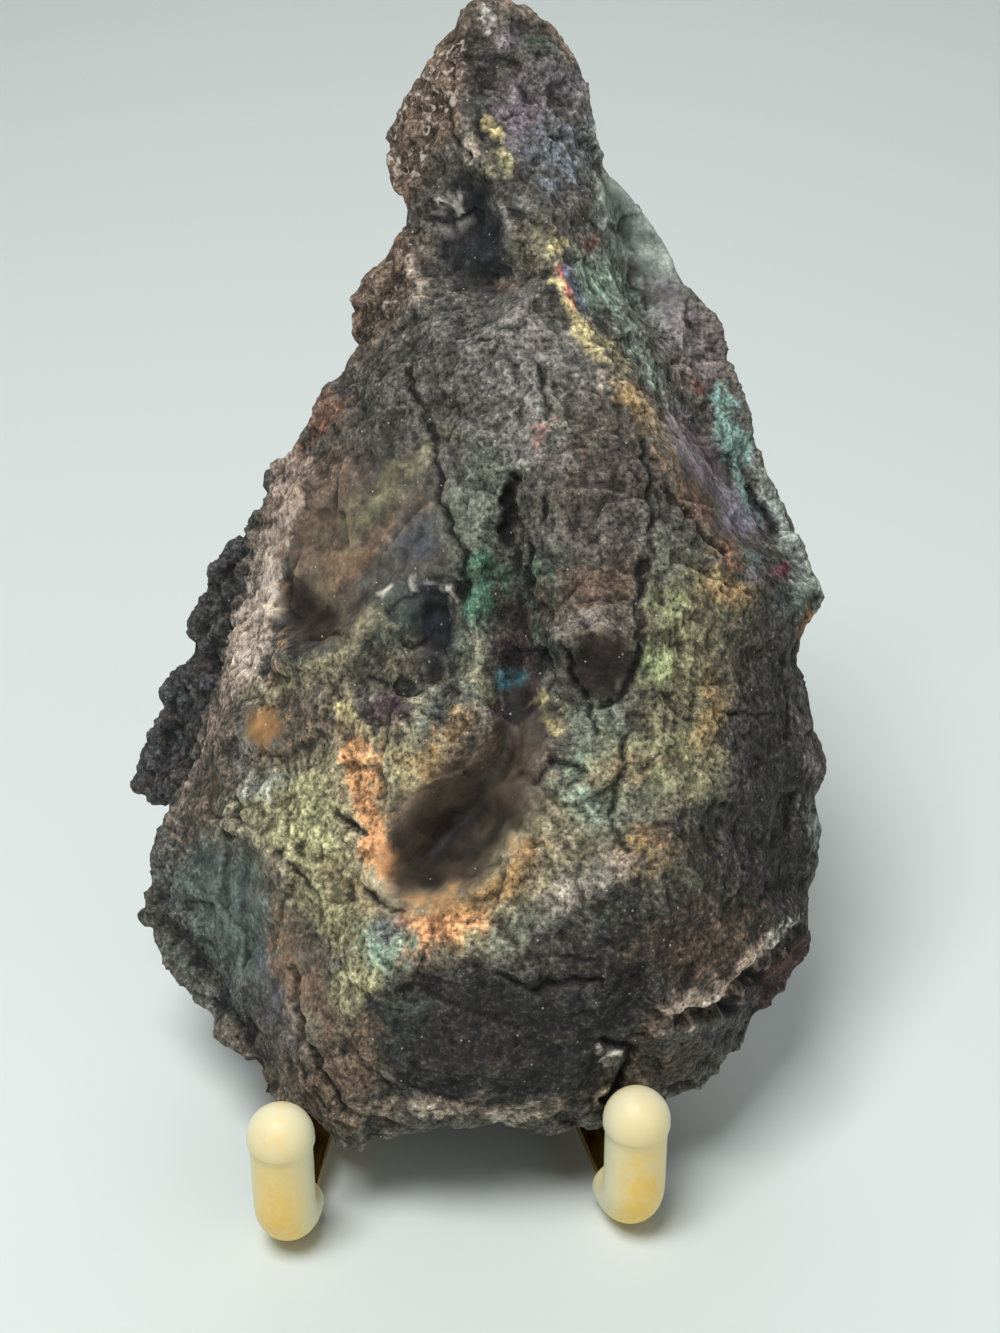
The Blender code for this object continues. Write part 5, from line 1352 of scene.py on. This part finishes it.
    @staticmethod
    def main_body(spots: np.ndarray, faces: Faces) -> tuple[np.ndarray, Faces]:
        """Drops the crumbs that evening out can leave beside the main body.

        Args:
            spots: The vertices.
            faces: The faces, all with four corners.

        Returns:
            The vertices and faces of the largest connected piece.
        """
        corners = np.array(faces)
        label = np.arange(len(spots))
        while True:
            lowest = label[corners].min(axis=1)
            fresh = label.copy()
            for column in corners.T:
                np.minimum.at(fresh, column, lowest)
            fresh = fresh[fresh]
            if (fresh == label).all():
                break
            label = fresh
        names, counts = np.unique(label, return_counts=True)
        kept = label == names[counts.argmax()]
        number = np.cumsum(kept) - 1
        wanted = corners[kept[corners[:, 0]]]
        return spots[kept], [tuple(int(i) for i in number[face]) for face in wanted]

    @staticmethod
    def normals_of(mesh: bpy.types.Mesh) -> np.ndarray:
        """Gives a mesh's vertex normals as rows."""
        flat = np.empty(len(mesh.vertices) * 3)
        mesh.vertices.foreach_get("normal", flat)
        return flat.reshape(-1, 3)

    def on_front(self, spots: np.ndarray) -> tuple[np.ndarray, np.ndarray]:
        """Spreads the stone's points on the plane that its front faces, as seen from the front.

        Args:
            spots: Points of the stone's frame, in millimetres.

        Returns:
            Positions across and up on the plane.
        """
        share = self.eye[2] / (self.eye[2] + spots[:, 1])
        return (
            self.eye[0] + (spots[:, 0] - self.eye[0]) * share,
            self.eye[1] + (spots[:, 2] - self.eye[1]) * share,
        )

    def zone_share(self, zone: Zone, u: np.ndarray, v: np.ndarray) -> np.ndarray:
        """Gives how much of one kind of surface each position has.

        Args:
            zone: The kind.
            u: Positions across on the front plane.
            v: Positions up on the front plane.

        Returns:
            A share for each position.
        """
        share = np.zeros(len(u))
        for area in SURFACE_AREAS:
            if area.kind is zone:
                share = np.maximum(share, area.weight(u, v))
        return share

    def crust_share(self, spots: np.ndarray) -> np.ndarray:
        """Gives how much of the porous crust each point has: the far left and the back.

        Args:
            spots: Points of the stone's frame, in millimetres.

        Returns:
            A share for each point.
        """
        near = smoothstep(self.crust_from, self.crust_full, spots[:, 1])
        far = smoothstep(self.crust_full, self.crust_back, spots[:, 1])
        left = 1.0 - smoothstep(*self.crust_edge, spots[:, 0])
        return far + (near - far) * left

    def eased(self, spots: np.ndarray, faces: Faces) -> np.ndarray:
        """Eases the creases of the cage, a little everywhere and much where the rock broke smooth.

        Args:
            spots: Points of the even mesh, in millimetres.
            faces: Its faces.

        Returns:
            The eased points.
        """
        pairs = joined_pairs(faces)
        u, v = self.on_front(spots)
        smooth = self.zone_share(Zone.SMOOTH, u, v)
        share = self.easing_rate * (self.easing_least + (1.0 - self.easing_least) * smooth)
        for _ in range(self.easing_rounds):
            spots = spots + share[:, None] * (mean_of_neighbours(spots, pairs) - spots)
        return spots

    def roughened(self, spots: np.ndarray, faces: Faces) -> np.ndarray:
        """Moves each point along its normal by the rock's relief.

        Args:
            spots: Points of the smooth stone, in millimetres.
            faces: Its faces.

        Returns:
            The moved points.
        """
        plain = link_mesh("plain", spots, faces)
        normals = self.normals_of(plain.data)
        bpy.data.objects.remove(plain)
        u, v = self.on_front(spots)
        smooth = self.zone_share(Zone.SMOOTH, u, v)
        grainy = self.zone_share(Zone.GRAINY, u, v)
        knobby = self.zone_share(Zone.FLECKED, u, v)
        crust = self.crust_share(spots)
        front = 1.0 - smoothstep(-0.1, 0.35, normals[:, 1])
        broken = (1.0 - self.smooth_calm * smooth * front) * (1.0 - crust)
        more = self.grain_more * np.maximum(grainy, 0.6 * knobby) * front
        grain = broken * (self.grain_everywhere + more)
        moved = np.empty(len(spots))
        for i, place in enumerate(spots):
            spot = Vector(place)
            bulk = self.bulk_relief(spot, crust[i])
            moved[i] = (
                bulk * (1.0 - self.smooth_bulk_calm * smooth[i] * front[i])
                + broken[i] * sum(self.hackle(spot, size, height) for size, height in self.hackles)
                + grain[i] * sum(height * noise.noise(spot / size) for size, height in self.grains)
                + knobby[i] * front[i] * self.knobs(spot, self.fleck_knobs)
                + crust[i] * (self.knobs(spot, self.crust_knobs) + self.froth(spot))
            )
        moved -= self.crack_depth(u, v) * front * (1.0 - crust)
        return self.without_spikes(spots + normals * moved[:, None], faces)

    def without_spikes(self, spots: np.ndarray, faces: Faces) -> np.ndarray:
        """Draws back single points that stand out from all their neighbours.

        Args:
            spots: Points of the rough stone, in millimetres.
            faces: Its faces.

        Returns:
            The points.
        """
        pairs = joined_pairs(faces)
        for _ in range(self.spike_rounds):
            mean = mean_of_neighbours(spots, pairs)
            out = np.linalg.norm(mean - spots, axis=1) > self.spike_mm
            spots = np.where(out[:, None], mean, spots)
        return spots

    @staticmethod
    def bulk_relief(spot: Vector, crust: float) -> float:
        """Gives the relief that the solid has too: wide waves, and lumps on the crust.

        Args:
            spot: A point of the stone's frame, in millimetres.
            crust: How much crust it has.

        Returns:
            How far the surface stands out there, in millimetres.
        """
        coarse = noise.fractal(spot / ROCK_GRAIN, 0.8, 2.0, 3)
        fine = noise.noise(spot / FINE_GRAIN + Vector((7.3, 1.1, 4.9)))
        near = noise.voronoi(spot / LUMP_SIZE)[0][0]
        lump = math.sqrt(max(1.0 - (near / LUMP_REACH) ** 2, 0.0))
        rock = (ROCK_RELIEF * coarse + FINE_RELIEF * fine) * (1.0 - 0.5 * crust)
        return rock + crust * LUMP_RELIEF * (lump - ROUND_MEAN)

    @staticmethod
    def hackle(spot: Vector, size: float, height: float) -> float:
        """Gives the relief of small tilted break faces with a step between them.

        Args:
            spot: A point of the stone's frame, in millimetres.
            size: How wide a face is.
            height: How far its edges stand out.

        Returns:
            How far the surface stands out there, in millimetres.
        """
        middle = noise.voronoi(spot / size)[1][0]
        tilt = noise.cell_vector(middle * CELL_KEY) - Vector((0.5, 0.5, 0.5))
        return height * (BREAK_TILT * tilt.dot(spot / size - middle) + BREAK_STEP * tilt.x)

    @staticmethod
    def knobs(spot: Vector, sizes: Sequence[Spot]) -> float:
        """Gives the relief of round knobs with narrow gaps between them.

        Args:
            spot: A point of the stone's frame, in millimetres.
            sizes: How wide and how high each kind of knob is.

        Returns:
            How far the surface stands out there, in millimetres.
        """
        relief = 0.0
        for size, height in sizes:
            near = noise.voronoi(spot / size)[0][0]
            relief += height * (math.sqrt(max(1.0 - (near / KNOB_REACH) ** 2, 0.0)) - ROUND_MEAN)
        return relief

    @staticmethod
    def froth(spot: Vector) -> float:
        """Gives the relief of the porous crust between its knobs."""
        return 0.5 * noise.fractal(spot / 1.3, 0.6, 2.0, 3)

    @staticmethod
    def crack_depth(u: np.ndarray, v: np.ndarray) -> np.ndarray:
        """Gives how deep the cracks are at each position, each with a slight wander off its line.

        Args:
            u: Positions across on the front plane.
            v: Positions up on the front plane.

        Returns:
            A depth in millimetres for each position.
        """
        depth = np.zeros(len(u))
        wander_u = 0.18 * np.sin(2.1 * v + 1.3) + 0.1 * np.sin(5.3 * v)
        wander_v = 0.12 * np.sin(3.1 * u)
        for crack in CRACKS:
            away = distance_to_line(crack.points, u + wander_u, v + wander_v) / crack.half_width
            depth = np.maximum(depth, crack.depth * np.exp(-away ** 2))
        return depth

    def thinned(self, spots: np.ndarray, faces: Faces) -> tuple[np.ndarray, Faces]:
        """Merges triangles where the surface is flat, down to the number that a piece may have.

        Args:
            spots: The rough stone's points, in millimetres.
            faces: Its faces.

        Returns:
            The points and faces that stay.
        """
        dense = link_mesh("dense", spots, faces)
        fewer = dense.modifiers.new("fewer", "DECIMATE")
        fewer.ratio = min(1.0, self.most_triangles / (2 * len(faces)))
        return self.evaluated(dense)

    def mark(self, mesh: bpy.types.Mesh, spots: np.ndarray, normals: np.ndarray) -> None:
        """Writes the tint, fleck and polish marks that the finish reads, and the painted shading: painted
        shade in hollows and cracks, painted light on crests.

        Args:
            mesh: The stone's mesh.
            spots: Its points in the stone's frame, in millimetres.
            normals: Its normals in the stone's frame.
        """
        u, v = self.on_front(spots)
        front = 1.0 - smoothstep(0.1, 0.6, normals[:, 1])
        crust = self.crust_share(spots)
        tint = self.tint(spots, u, v, front, crust)
        # Painted shade: the cracks of the front are painted darker by their depth, off the crust.
        open_share = np.clip(self.crack_depth(u, v) * self.crack_rate, 0.0, 1.0)
        crack = 1.0 - self.crack_shade * open_share * front * (1.0 - crust)
        # Painted shading: points below their neighbours are painted darker, points that stand out are painted
        # lighter.
        painted_shading = np.clip(1.0 - self.hollow_rate * self.hollowness(mesh, spots, normals), *self.hollow_shades)
        marks = {
            "fleck": self.zone_share(Zone.FLECKED, u, v) * front,
            "polish": self.zone_share(Zone.SMOOTH, u, v) * front,
            "painted_shading": painted_shading * crack,
        }
        for name, values in marks.items():
            made = mesh.attributes.new(name, "FLOAT", "POINT")
            made.data.foreach_set("value", values.astype(np.float32))
        made = mesh.attributes.new("tint", "FLOAT_COLOR", "POINT")
        rgba = np.concatenate([tint, np.ones((len(tint), 1))], axis=1)
        made.data.foreach_set("color", rgba.astype(np.float32).ravel())

    @staticmethod
    def hollowness(mesh: bpy.types.Mesh, spots: np.ndarray, normals: np.ndarray) -> np.ndarray:
        """Measures how far each point lies below its neighbours.

        Args:
            mesh: The stone's mesh.
            spots: Its points in the stone's frame, in millimetres.
            normals: Its normals in the stone's frame.

        Returns:
            A depth in millimetres for each point, below nought where it stands out.
        """
        pairs = np.empty(len(mesh.edges) * 2, dtype=np.int64)
        mesh.edges.foreach_get("vertices", pairs)
        pairs = pairs.reshape(-1, 2)
        even = spots
        for _ in range(4):
            even = mean_of_neighbours(even, pairs)
        return np.einsum("ij,ij->i", even - spots, normals)

    def tint(
        self, spots: np.ndarray, u: np.ndarray, v: np.ndarray, front: np.ndarray, crust: np.ndarray
    ) -> np.ndarray:
        """Lays the tones over each other, each with a ragged edge.

        Args:
            spots: Points of the stone's frame, in millimetres.
            u: Their positions across on the front plane.
            v: Their positions up on the front plane.
            front: How far each faces the front.
            crust: How much crust each has.

        Returns:
            Linear red, green and blue for each point.
        """
        sway = np.empty((len(spots), 3))
        ragged = np.empty(len(spots))
        fine = np.empty(len(spots))
        for i, place in enumerate(spots):
            spot = Vector(place)
            wide = noise.noise_vector(spot / self.warp_size)
            sway[i] = wide + 0.45 * noise.noise_vector(spot / self.fine_warp_size)
            ragged[i] = noise.fractal(spot / self.ragged_size, 0.6, 2.0, 4)
            fine[i] = noise.fractal(spot / self.mottle_size, 0.6, 2.0, 2)
        u = u + self.warp_mm * sway[:, 0]
        v = v + self.warp_mm * sway[:, 1]
        colour = np.tile(np.array(linear(Tone.ASH.value)[:3]), (len(spots), 1))
        for mark in TARNISH_AND_PAINTED_SHADE:
            share = mark.weight(u, v, self.ragged_mm * ragged)
            share = self.film_share * np.clip(share + 2.0 * share * (1.0 - share) * fine, 0.0, 1.0) * front
            colour += share[:, None] * (np.array(linear(mark.kind.value)[:3]) - colour)
        grey = (colour @ np.array(LIGHTNESS))[:, None] * np.array(self.haze)
        colour = grey + self.colourfulness * (colour - grey)
        hidden = np.clip(1.0 - front, 0.0, 1.0)[:, None]
        earthy = np.clip(0.5 + 0.8 * ragged, 0.0, 1.0)[:, None]
        back = np.array(linear(Tone.BACK.value)[:3])
        rusty = np.array(linear(Tone.EARTH.value)[:3])
        colour += hidden * (back + 0.5 * earthy * (rusty - back) - colour)
        dark = np.array(linear(Tone.CRUST.value)[:3])
        sooty = np.array(linear(Tone.NAVY_GREY.value)[:3])
        colour += crust[:, None] * self.crust_cover * (dark + 0.3 * earthy * (sooty - dark) - colour)
        return colour


@dataclass
class Easel:
    """The stand: two hooked arms of flat strip, a cross bar and a rear leg."""

    shift: Spot
    finish: PolishedBrass = field(default_factory=PolishedBrass)
    strip_width: float = 3.4
    strip_thick: float = 1.0
    edge_round: float = 0.18
    hook_x: float = 14.1
    hook_y: float = -6.7
    hook_top: float = 12.6
    run_z: float = 2.5
    run_inward: float = 0.19
    hook_bend: float = 3.0
    run_end_y: float = 20.5
    leg_lean_deg: float = 36.0
    leg_bend: float = 3.0
    leg_top_z: float = 27.0
    bend_steps: int = 18
    bar_width: float = 16.0
    bar_height: float = 5.0
    bar_thick: float = 1.2
    bar_off: float = 0.3
    rear_width: float = 8.0
    rear_reach: float = 19.0
    rear_foot: float = 6.0
    rear_bends: Spot = (1.6, 2.0)
    neck_rise: float = 3.0
    neck_drop: float = 1.0
    gap: float = 0.3
    sharp_deg: float = 40.0

    def build(self) -> list[bpy.types.Object]:
        """Makes and dresses the arms, the bar and the rear leg."""
        brass = self.finish.material()
        pieces = []
        for side, word in ((-1, "left"), (1, "right")):
            path = bent_path(self.hook_corners(side), (self.hook_bend, self.leg_bend), self.bend_steps)
            arm = self.loft_strip(f"{word}_hook_arm", path, self.across_of(side), self.strip_width)
            pieces.append((arm, f"{word}_arm"))
        pieces.append((self.build_bar(), "cross_bar"))
        pieces.append((self.build_rear_leg(), "rear_leg"))
        for piece, node in pieces:
            piece.data.materials.append(brass)
            seat_piece(piece, node)
        return [piece for piece, _ in pieces]

    def placed(self, spots: Sequence[Vector]) -> list[Vector]:
        """Moves millimetres of the stand's own frame to metres of the row frame."""
        return [(spot + Vector((self.shift[0], self.shift[1], 0.0))) * MM for spot in spots]

    def hook_corners(self, side: int) -> list[Vector]:
        """Gives the corners of an arm's centreline.

        Args:
            side: -1 for the left arm, 1 for the right.

        Returns:
            Hook tip, floor bend, leg bend and leg top.
        """
        heading = Vector((-side * self.run_inward, 1.0, 0.0)).normalized()
        foot = Vector((side * self.hook_x, self.hook_y, self.run_z))
        heel = foot + heading * ((self.run_end_y - self.hook_y) / heading.y)
        rise = self.leg_top_z - self.run_z
        top = heel + heading * (rise * math.tan(math.radians(self.leg_lean_deg))) + Vector((0, 0, rise))
        return [foot + Vector((0, 0, self.hook_top - self.run_z)), foot, heel, top]

    def across_of(self, side: int) -> Vector:
        """Gives the direction across an arm's strip."""
        return Vector((1.0, side * self.run_inward, 0.0)).normalized()

    def section(self, width: float) -> list[Spot]:
        """Gives a flat strip's section with rounded edges.

        Args:
            width: The strip's width.

        Returns:
            Its corners, counterclockwise.
        """
        round_off = self.edge_round
        half_w = width / 2 - round_off
        half_t = self.strip_thick / 2 - round_off
        ring = []
        for quarter, (right, up) in enumerate(((1, 1), (-1, 1), (-1, -1), (1, -1))):
            for step in range(4):
                angle = math.radians(90 * quarter + 30 * step)
                x = right * half_w + round_off * math.cos(angle)
                ring.append((x, up * half_t + round_off * math.sin(angle)))
        return ring

    def loft_strip(
        self, name: str, path: tuple[list[Vector], list[Vector]], across: Vector, width: float
    ) -> bpy.types.Object:
        """Sweeps the strip's section along a bent path.

        Args:
            name: The piece's name.
            path: Points of the path and their tangents.
            across: The direction across the strip.
            width: The strip's width.

        Returns:
            The piece.
        """
        section = self.section(width)
        rings = [ring_at(p, t, across, section) for p, t in zip(*path)]
        verts, faces = loft([self.placed(ring) for ring in rings])
        piece = link_mesh(name, verts, faces)
        sharpen(piece, self.sharp_deg)
        return piece

    def leg_frame(self) -> tuple[Vector, Vector, Vector]:
        """Gives the middle of the leg tops, the way up the legs and the way out behind them."""
        top = (self.hook_corners(-1)[3] + self.hook_corners(1)[3]) / 2
        up = Vector((0, top.y - self.run_end_y, self.leg_top_z - self.run_z)).normalized()
        return top, up, Vector((0, up.z, -up.y))

    def bar_centre(self) -> Vector:
        """Gives the middle of the cross bar."""
        top, up, behind = self.leg_frame()
        off = self.strip_thick / 2 + self.gap + self.bar_off + self.bar_thick / 2
        return top - up * (self.bar_height / 2) + behind * off

    def build_bar(self) -> bpy.types.Object:
        """Makes the cross bar, a small plate with eased edges."""
        _, up, behind = self.leg_frame()
        bm = bmesh.new()
        bmesh.ops.create_cube(bm, size=1.0)
        bmesh.ops.scale(bm, vec=(self.bar_width, self.bar_thick, self.bar_height), verts=bm.verts)
        bmesh.ops.bevel(bm, geom=list(bm.edges), offset=self.edge_round, segments=3, affect="EDGES")
        turn = Matrix((Vector((1, 0, 0)), behind, up)).transposed()
        verts = self.placed([self.bar_centre() + turn @ v.co for v in bm.verts])
        faces = [tuple(v.index for v in face.verts) for face in bm.faces]
        bm.free()
        piece = link_mesh("riveted_cross_bar", verts, faces)
        sharpen(piece, self.sharp_deg)
        return piece

    def build_rear_leg(self) -> bpy.types.Object:
        """Makes the strip that bends from behind the bar down to a level foot."""
        _, up, behind = self.leg_frame()
        back = self.bar_centre() + behind * (self.bar_thick / 2 + self.gap + self.strip_thick / 2)
        head = back - up * (self.bar_height / 2)
        neck = back + up * (self.bar_height / 2 - self.neck_drop)
        sole = Vector((0, neck.y + self.rear_reach, self.strip_thick / 2))
        corners = [head, neck + up * self.neck_rise, sole, sole + Vector((0, self.rear_foot, 0))]
        path = bent_path(corners, self.rear_bends, self.bend_steps)
        return self.loft_strip("bent_rear_leg", path, Vector((1, 0, 0)), self.rear_width)


@dataclass
class HookSleeve:
    """A blind silicone sleeve pushed over a hook and its bend, with a slightly wider rounded tip.

    The lip is how far down and in the edge of the tip goes, step by step.
    """

    easel: Easel
    side: int
    finish: FrostedSilicone
    radius: float = 2.5
    bead_radius: float = 2.7
    bead_length: float = 3.1
    sides: int = 48
    roof: float = 1.7
    past_bend: float = 0.3
    lip: tuple[Spot, ...] = ((0.0, 0.0), (0.10, 0.02), (0.20, 0.10), (0.26, 0.15))
    sharp_deg: float = 50.0

    def build(self) -> bpy.types.Object:
        """Makes, marks and dresses the sleeve."""
        word = "left" if self.side < 0 else "right"
        rings, cores = self.rings()
        verts, faces = loft([self.easel.placed(ring) for ring in rings])
        piece = link_mesh(f"{word}_silicone_sleeve", verts, faces)
        sharpen(piece, self.sharp_deg)
        mark = piece.data.attributes.new("core", "FLOAT", "POINT")
        mark.data.foreach_set("value", np.array(cores, np.float32))
        piece.data.materials.append(self.finish.material())
        return seat_piece(piece, f"{word}_sleeve")

    def circle(self, radius: float) -> list[Spot]:
        """Gives a round section."""
        steps = [2 * math.pi * (i + 0.5) / self.sides for i in range(self.sides)]
        return [(radius * math.cos(a), radius * math.sin(a)) for a in steps]

    def slot(self) -> list[Spot]:
        """Gives the section of the slot that the strip sits in."""
        half_w = self.easel.strip_width / 2 + self.easel.gap
        half_t = self.easel.strip_thick / 2 + self.easel.gap
        ring = []
        for a in (2 * math.pi * (i + 0.5) / self.sides for i in range(self.sides)):
            reach = 1.0 / max(abs(math.cos(a)), abs(math.sin(a)))
            ring.append((half_w * math.cos(a) * reach, half_t * math.sin(a) * reach))
        return ring

    def rings(self) -> tuple[list[list[Vector]], list[float]]:
        """Gives the rings from the tip down, round the bend and back up inside, with their core marks."""
        corners = self.easel.hook_corners(self.side)
        tip, foot, heel = corners[0], corners[1], corners[2]
        across, down = self.easel.across_of(self.side), Vector((0, 0, -1))
        end = foot + (heel - foot).normalized() * (self.easel.hook_bend + self.past_bend)
        points, tangents = bent_path([tip, foot, end], (self.easel.hook_bend,), self.easel.bend_steps)
        top = tip.z + self.roof + self.easel.gap
        rings: list[list[Vector]] = []
        cores: list[float] = []

        def add(spot: Vector, tangent: Vector, section: list[Spot], shown: float) -> None:
            """Adds one ring; the brass shows most where the wall faces the strip's flat side."""
            rings.append(ring_at(spot, tangent, across, section))
            for a, n in section:
                flat = abs(n) / max(math.hypot(a, n), 1e-6)
                cores.append(shown * flat ** 1.6)

        for angle in range(4, 91, 8):
            level = top - self.bead_radius * (1 - math.cos(math.radians(angle)))
            radius = self.bead_radius * math.sin(math.radians(angle))
            add(Vector((tip.x, tip.y, level)), down, self.circle(radius), 0.2 + 0.25 * angle / 90)
        for drop, inset in self.lip:
            spot = Vector((tip.x, tip.y, top - self.bead_length - drop))
            add(spot, down, self.circle(self.bead_radius - inset), 0.5)
        shaft = top - self.bead_length - self.lip[-1][0]
        bend = points[1].z
        for step in range(1, 8):
            level = shaft + (bend - shaft) * step / 8
            add(Vector((tip.x, tip.y, level)), down, self.circle(self.radius), 0.55 + 0.45 * step / 8)
        for spot, tangent in zip(points[1:], tangents[1:]):
            add(spot, tangent, self.circle(self.radius), 1.0)
        for spot, tangent in zip(points[:0:-1], tangents[:0:-1]):
            add(spot, tangent, self.slot(), 1.0)
        add(Vector((tip.x, tip.y, tip.z + self.easel.gap)), down, self.slot(), 1.0)
        return rings, cores


def joined_pairs(faces: Sequence[Sequence[int]]) -> np.ndarray:
    """Lists the joined points of a mesh of four-cornered faces, as rows of two numbers."""
    corners = np.array(faces)
    return np.concatenate([corners[:, [i, (i + 1) % 4]] for i in range(4)])


def mean_of_neighbours(values: np.ndarray, pairs: np.ndarray) -> np.ndarray:
    """Averages each point's values over the points that it is joined to.

    Args:
        values: One row for each point.
        pairs: The joined points, as rows of two numbers.

    Returns:
        The averages, in the same order.
    """
    one, other = np.concatenate([pairs, pairs[:, ::-1]]).T
    count = np.bincount(one, minlength=len(values))
    columns = [np.bincount(one, weights=column[other], minlength=len(values)) for column in values.T]
    return np.array(columns).T / count[:, None]


def bent_path(
    corners: Sequence[Vector], radii: Sequence[float], steps: int
) -> tuple[list[Vector], list[Vector]]:
    """Rounds the inner corners of a polyline.

    Args:
        corners: The corners, the ends included.
        radii: One radius for each inner corner.
        steps: How many parts each bend has.

    Returns:
        Points along the path and their unit tangents.
    """
    points = [corners[0]]
    for i, radius in enumerate(radii, 1):
        into = (corners[i] - corners[i - 1]).normalized()
        out = (corners[i + 1] - corners[i]).normalized()
        turn = into.angle(out)
        centre = corners[i] + (out - into).normalized() * (radius / math.cos(turn / 2))
        start = corners[i] - into * (radius * math.tan(turn / 2))
        axis = into.cross(out).normalized()
        for step in range(steps + 1):
            points.append(centre + Matrix.Rotation(turn * step / steps, 3, axis) @ (start - centre))
    points.append(corners[-1])
    tangents = []
    for i, spot in enumerate(points):
        before, after = points[max(i - 1, 0)], points[min(i + 1, len(points) - 1)]
        tangents.append(((spot - before).normalized() + (after - spot).normalized()).normalized())
    return points, tangents


def ring_at(spot: Vector, tangent: Vector, across: Vector, section: Sequence[Spot]) -> list[Vector]:
    """Sets a section square to a path, across its own direction."""
    normal = tangent.cross(across).normalized()
    return [spot + across * a + normal * n for a, n in section]


def loft(rings: Sequence[Sequence[Vector]]) -> tuple[list[Vector], Faces]:
    """Joins rings of equal count in order and closes both ends.

    Args:
        rings: The rings.

    Returns:
        Vertices and faces.
    """
    count = len(rings[0])
    faces = [tuple(range(count))]
    for r in range(len(rings) - 1):
        for i in range(count):
            j = (i + 1) % count
            faces.append((r * count + i, r * count + j, (r + 1) * count + j, (r + 1) * count + i))
    last = (len(rings) - 1) * count
    faces.append(tuple(range(last, last + count)))
    return [spot for ring in rings for spot in ring], faces


def sharpen(piece: bpy.types.Object, angle_deg: float) -> None:
    """Keeps edges that turn by more than an angle sharp under smooth shading.

    Args:
        piece: The piece.
        angle_deg: The angle.
    """
    bm = bmesh.new()
    bm.from_mesh(piece.data)
    for edge in bm.edges:
        edge.smooth = len(edge.link_faces) == 2 and edge.calc_face_angle() < math.radians(angle_deg)
    bm.to_mesh(piece.data)
    bm.free()


@dataclass(frozen=True)
class Lamp:
    """A square soft light: where it hangs and its side, both in metres, and its power in watts."""

    name: str
    spot: Point
    side: float
    watts: float


@dataclass
class Studio:
    """A plain pale floor, soft light and a camera square to the stone's front."""

    stance: Stance
    floor: str = "#dbe3e0"
    floor_side_m: float = 6.0
    sky: str = "#dfe6e6"
    sky_strength: float = 0.22
    photo_height: float = 1333.0
    focal_px: float = 2280.0
    eye: Point = EYE
    sensor_mm: float = 36.0
    aim: Point = (0.0, 0.0, 0.045)
    lamps: tuple[Lamp, ...] = (
        Lamp("key", (-0.12, -0.17, 0.50), 0.22, 2.45),
        Lamp("fill", (0.30, -0.42, 0.20), 0.40, 0.35),
        Lamp("back", (0.05, 0.42, 0.40), 0.40, 0.8),
    )

    def build(self) -> None:
        """Makes the floor, the lights and the camera."""
        self.lay_floor()
        self.light_sky()
        for lamp in self.lamps:
            self.hang(lamp)
        self.set_camera()
        bpy.context.scene.view_settings.view_transform = "Standard"

    def lay_floor(self) -> None:
        """Lays the floor at z = 0."""
        half = self.floor_side_m / 2
        mesh = bpy.data.meshes.new("floor")
        corners = [(-half, -half, 0), (half, -half, 0), (half, half, 0), (-half, half, 0)]
        mesh.from_pydata(corners, [], [(0, 1, 2, 3)])
        made, _, shader = new_material("paper, matt and pale")
        shader.inputs["Base Color"].default_value = linear(self.floor)
        shader.inputs["Roughness"].default_value = 0.9
        mesh.materials.append(made)
        floor = bpy.data.objects.new("floor", mesh)
        bpy.context.scene.collection.objects.link(floor)

    def light_sky(self) -> None:
        """Sets the even light all round."""
        world = bpy.data.worlds.new("studio")
        world.use_nodes = True
        background = world.node_tree.nodes["Background"]
        background.inputs["Color"].default_value = linear(self.sky)
        background.inputs["Strength"].default_value = self.sky_strength
        bpy.context.scene.world = world

    def hang(self, lamp: Lamp) -> None:
        """Hangs a lamp that faces the stone.

        Args:
            lamp: The lamp.
        """
        data = bpy.data.lights.new(lamp.name, "AREA")
        data.shape = "SQUARE"
        data.size = lamp.side
        data.energy = lamp.watts
        light = bpy.data.objects.new(lamp.name, data)
        light.location = lamp.spot
        light.rotation_mode = "QUATERNION"
        light.rotation_quaternion = (Vector(self.aim) - Vector(lamp.spot)).to_track_quat("-Z", "Y")
        bpy.context.scene.collection.objects.link(light)

    def set_camera(self) -> None:
        """Places the camera square to the stone's front plane."""
        data = bpy.data.cameras.new("camera")
        data.sensor_width = self.sensor_mm
        data.lens = self.focal_px * self.sensor_mm / self.photo_height
        data.clip_start = 0.01
        data.clip_end = 20.0
        camera = bpy.data.objects.new("camera", data)
        place = self.stance.matrix()
        facing = Matrix(((1, 0, 0, 0), (0, 0, -1, 0), (0, 1, 0, 0), (0, 0, 0, 1)))
        turned = (place @ facing).to_quaternion()
        across, up, away = self.eye
        camera.location = (place @ Vector((across, -away, up))) * MM
        camera.rotation_mode = "QUATERNION"
        camera.rotation_quaternion = turned
        bpy.context.scene.collection.objects.link(camera)
        bpy.context.scene.camera = camera


def clear_scene() -> None:
    """Removes whatever Blender starts with."""
    for left in list(bpy.data.objects):
        bpy.data.objects.remove(left)


def main() -> None:
    """Builds the stone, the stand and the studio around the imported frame."""
    logging.basicConfig(level=logging.INFO, format="%(name)s: %(message)s")
    clear_scene()
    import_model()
    stance = Stance()
    LimoniteStone(stance).build()
    easel = Easel(stance.shift)
    easel.build()
    for side in (-1, 1):
        HookSleeve(easel, side, FrostedSilicone()).build()
    Studio(stance).build()


if __name__ == "__main__":
    main()
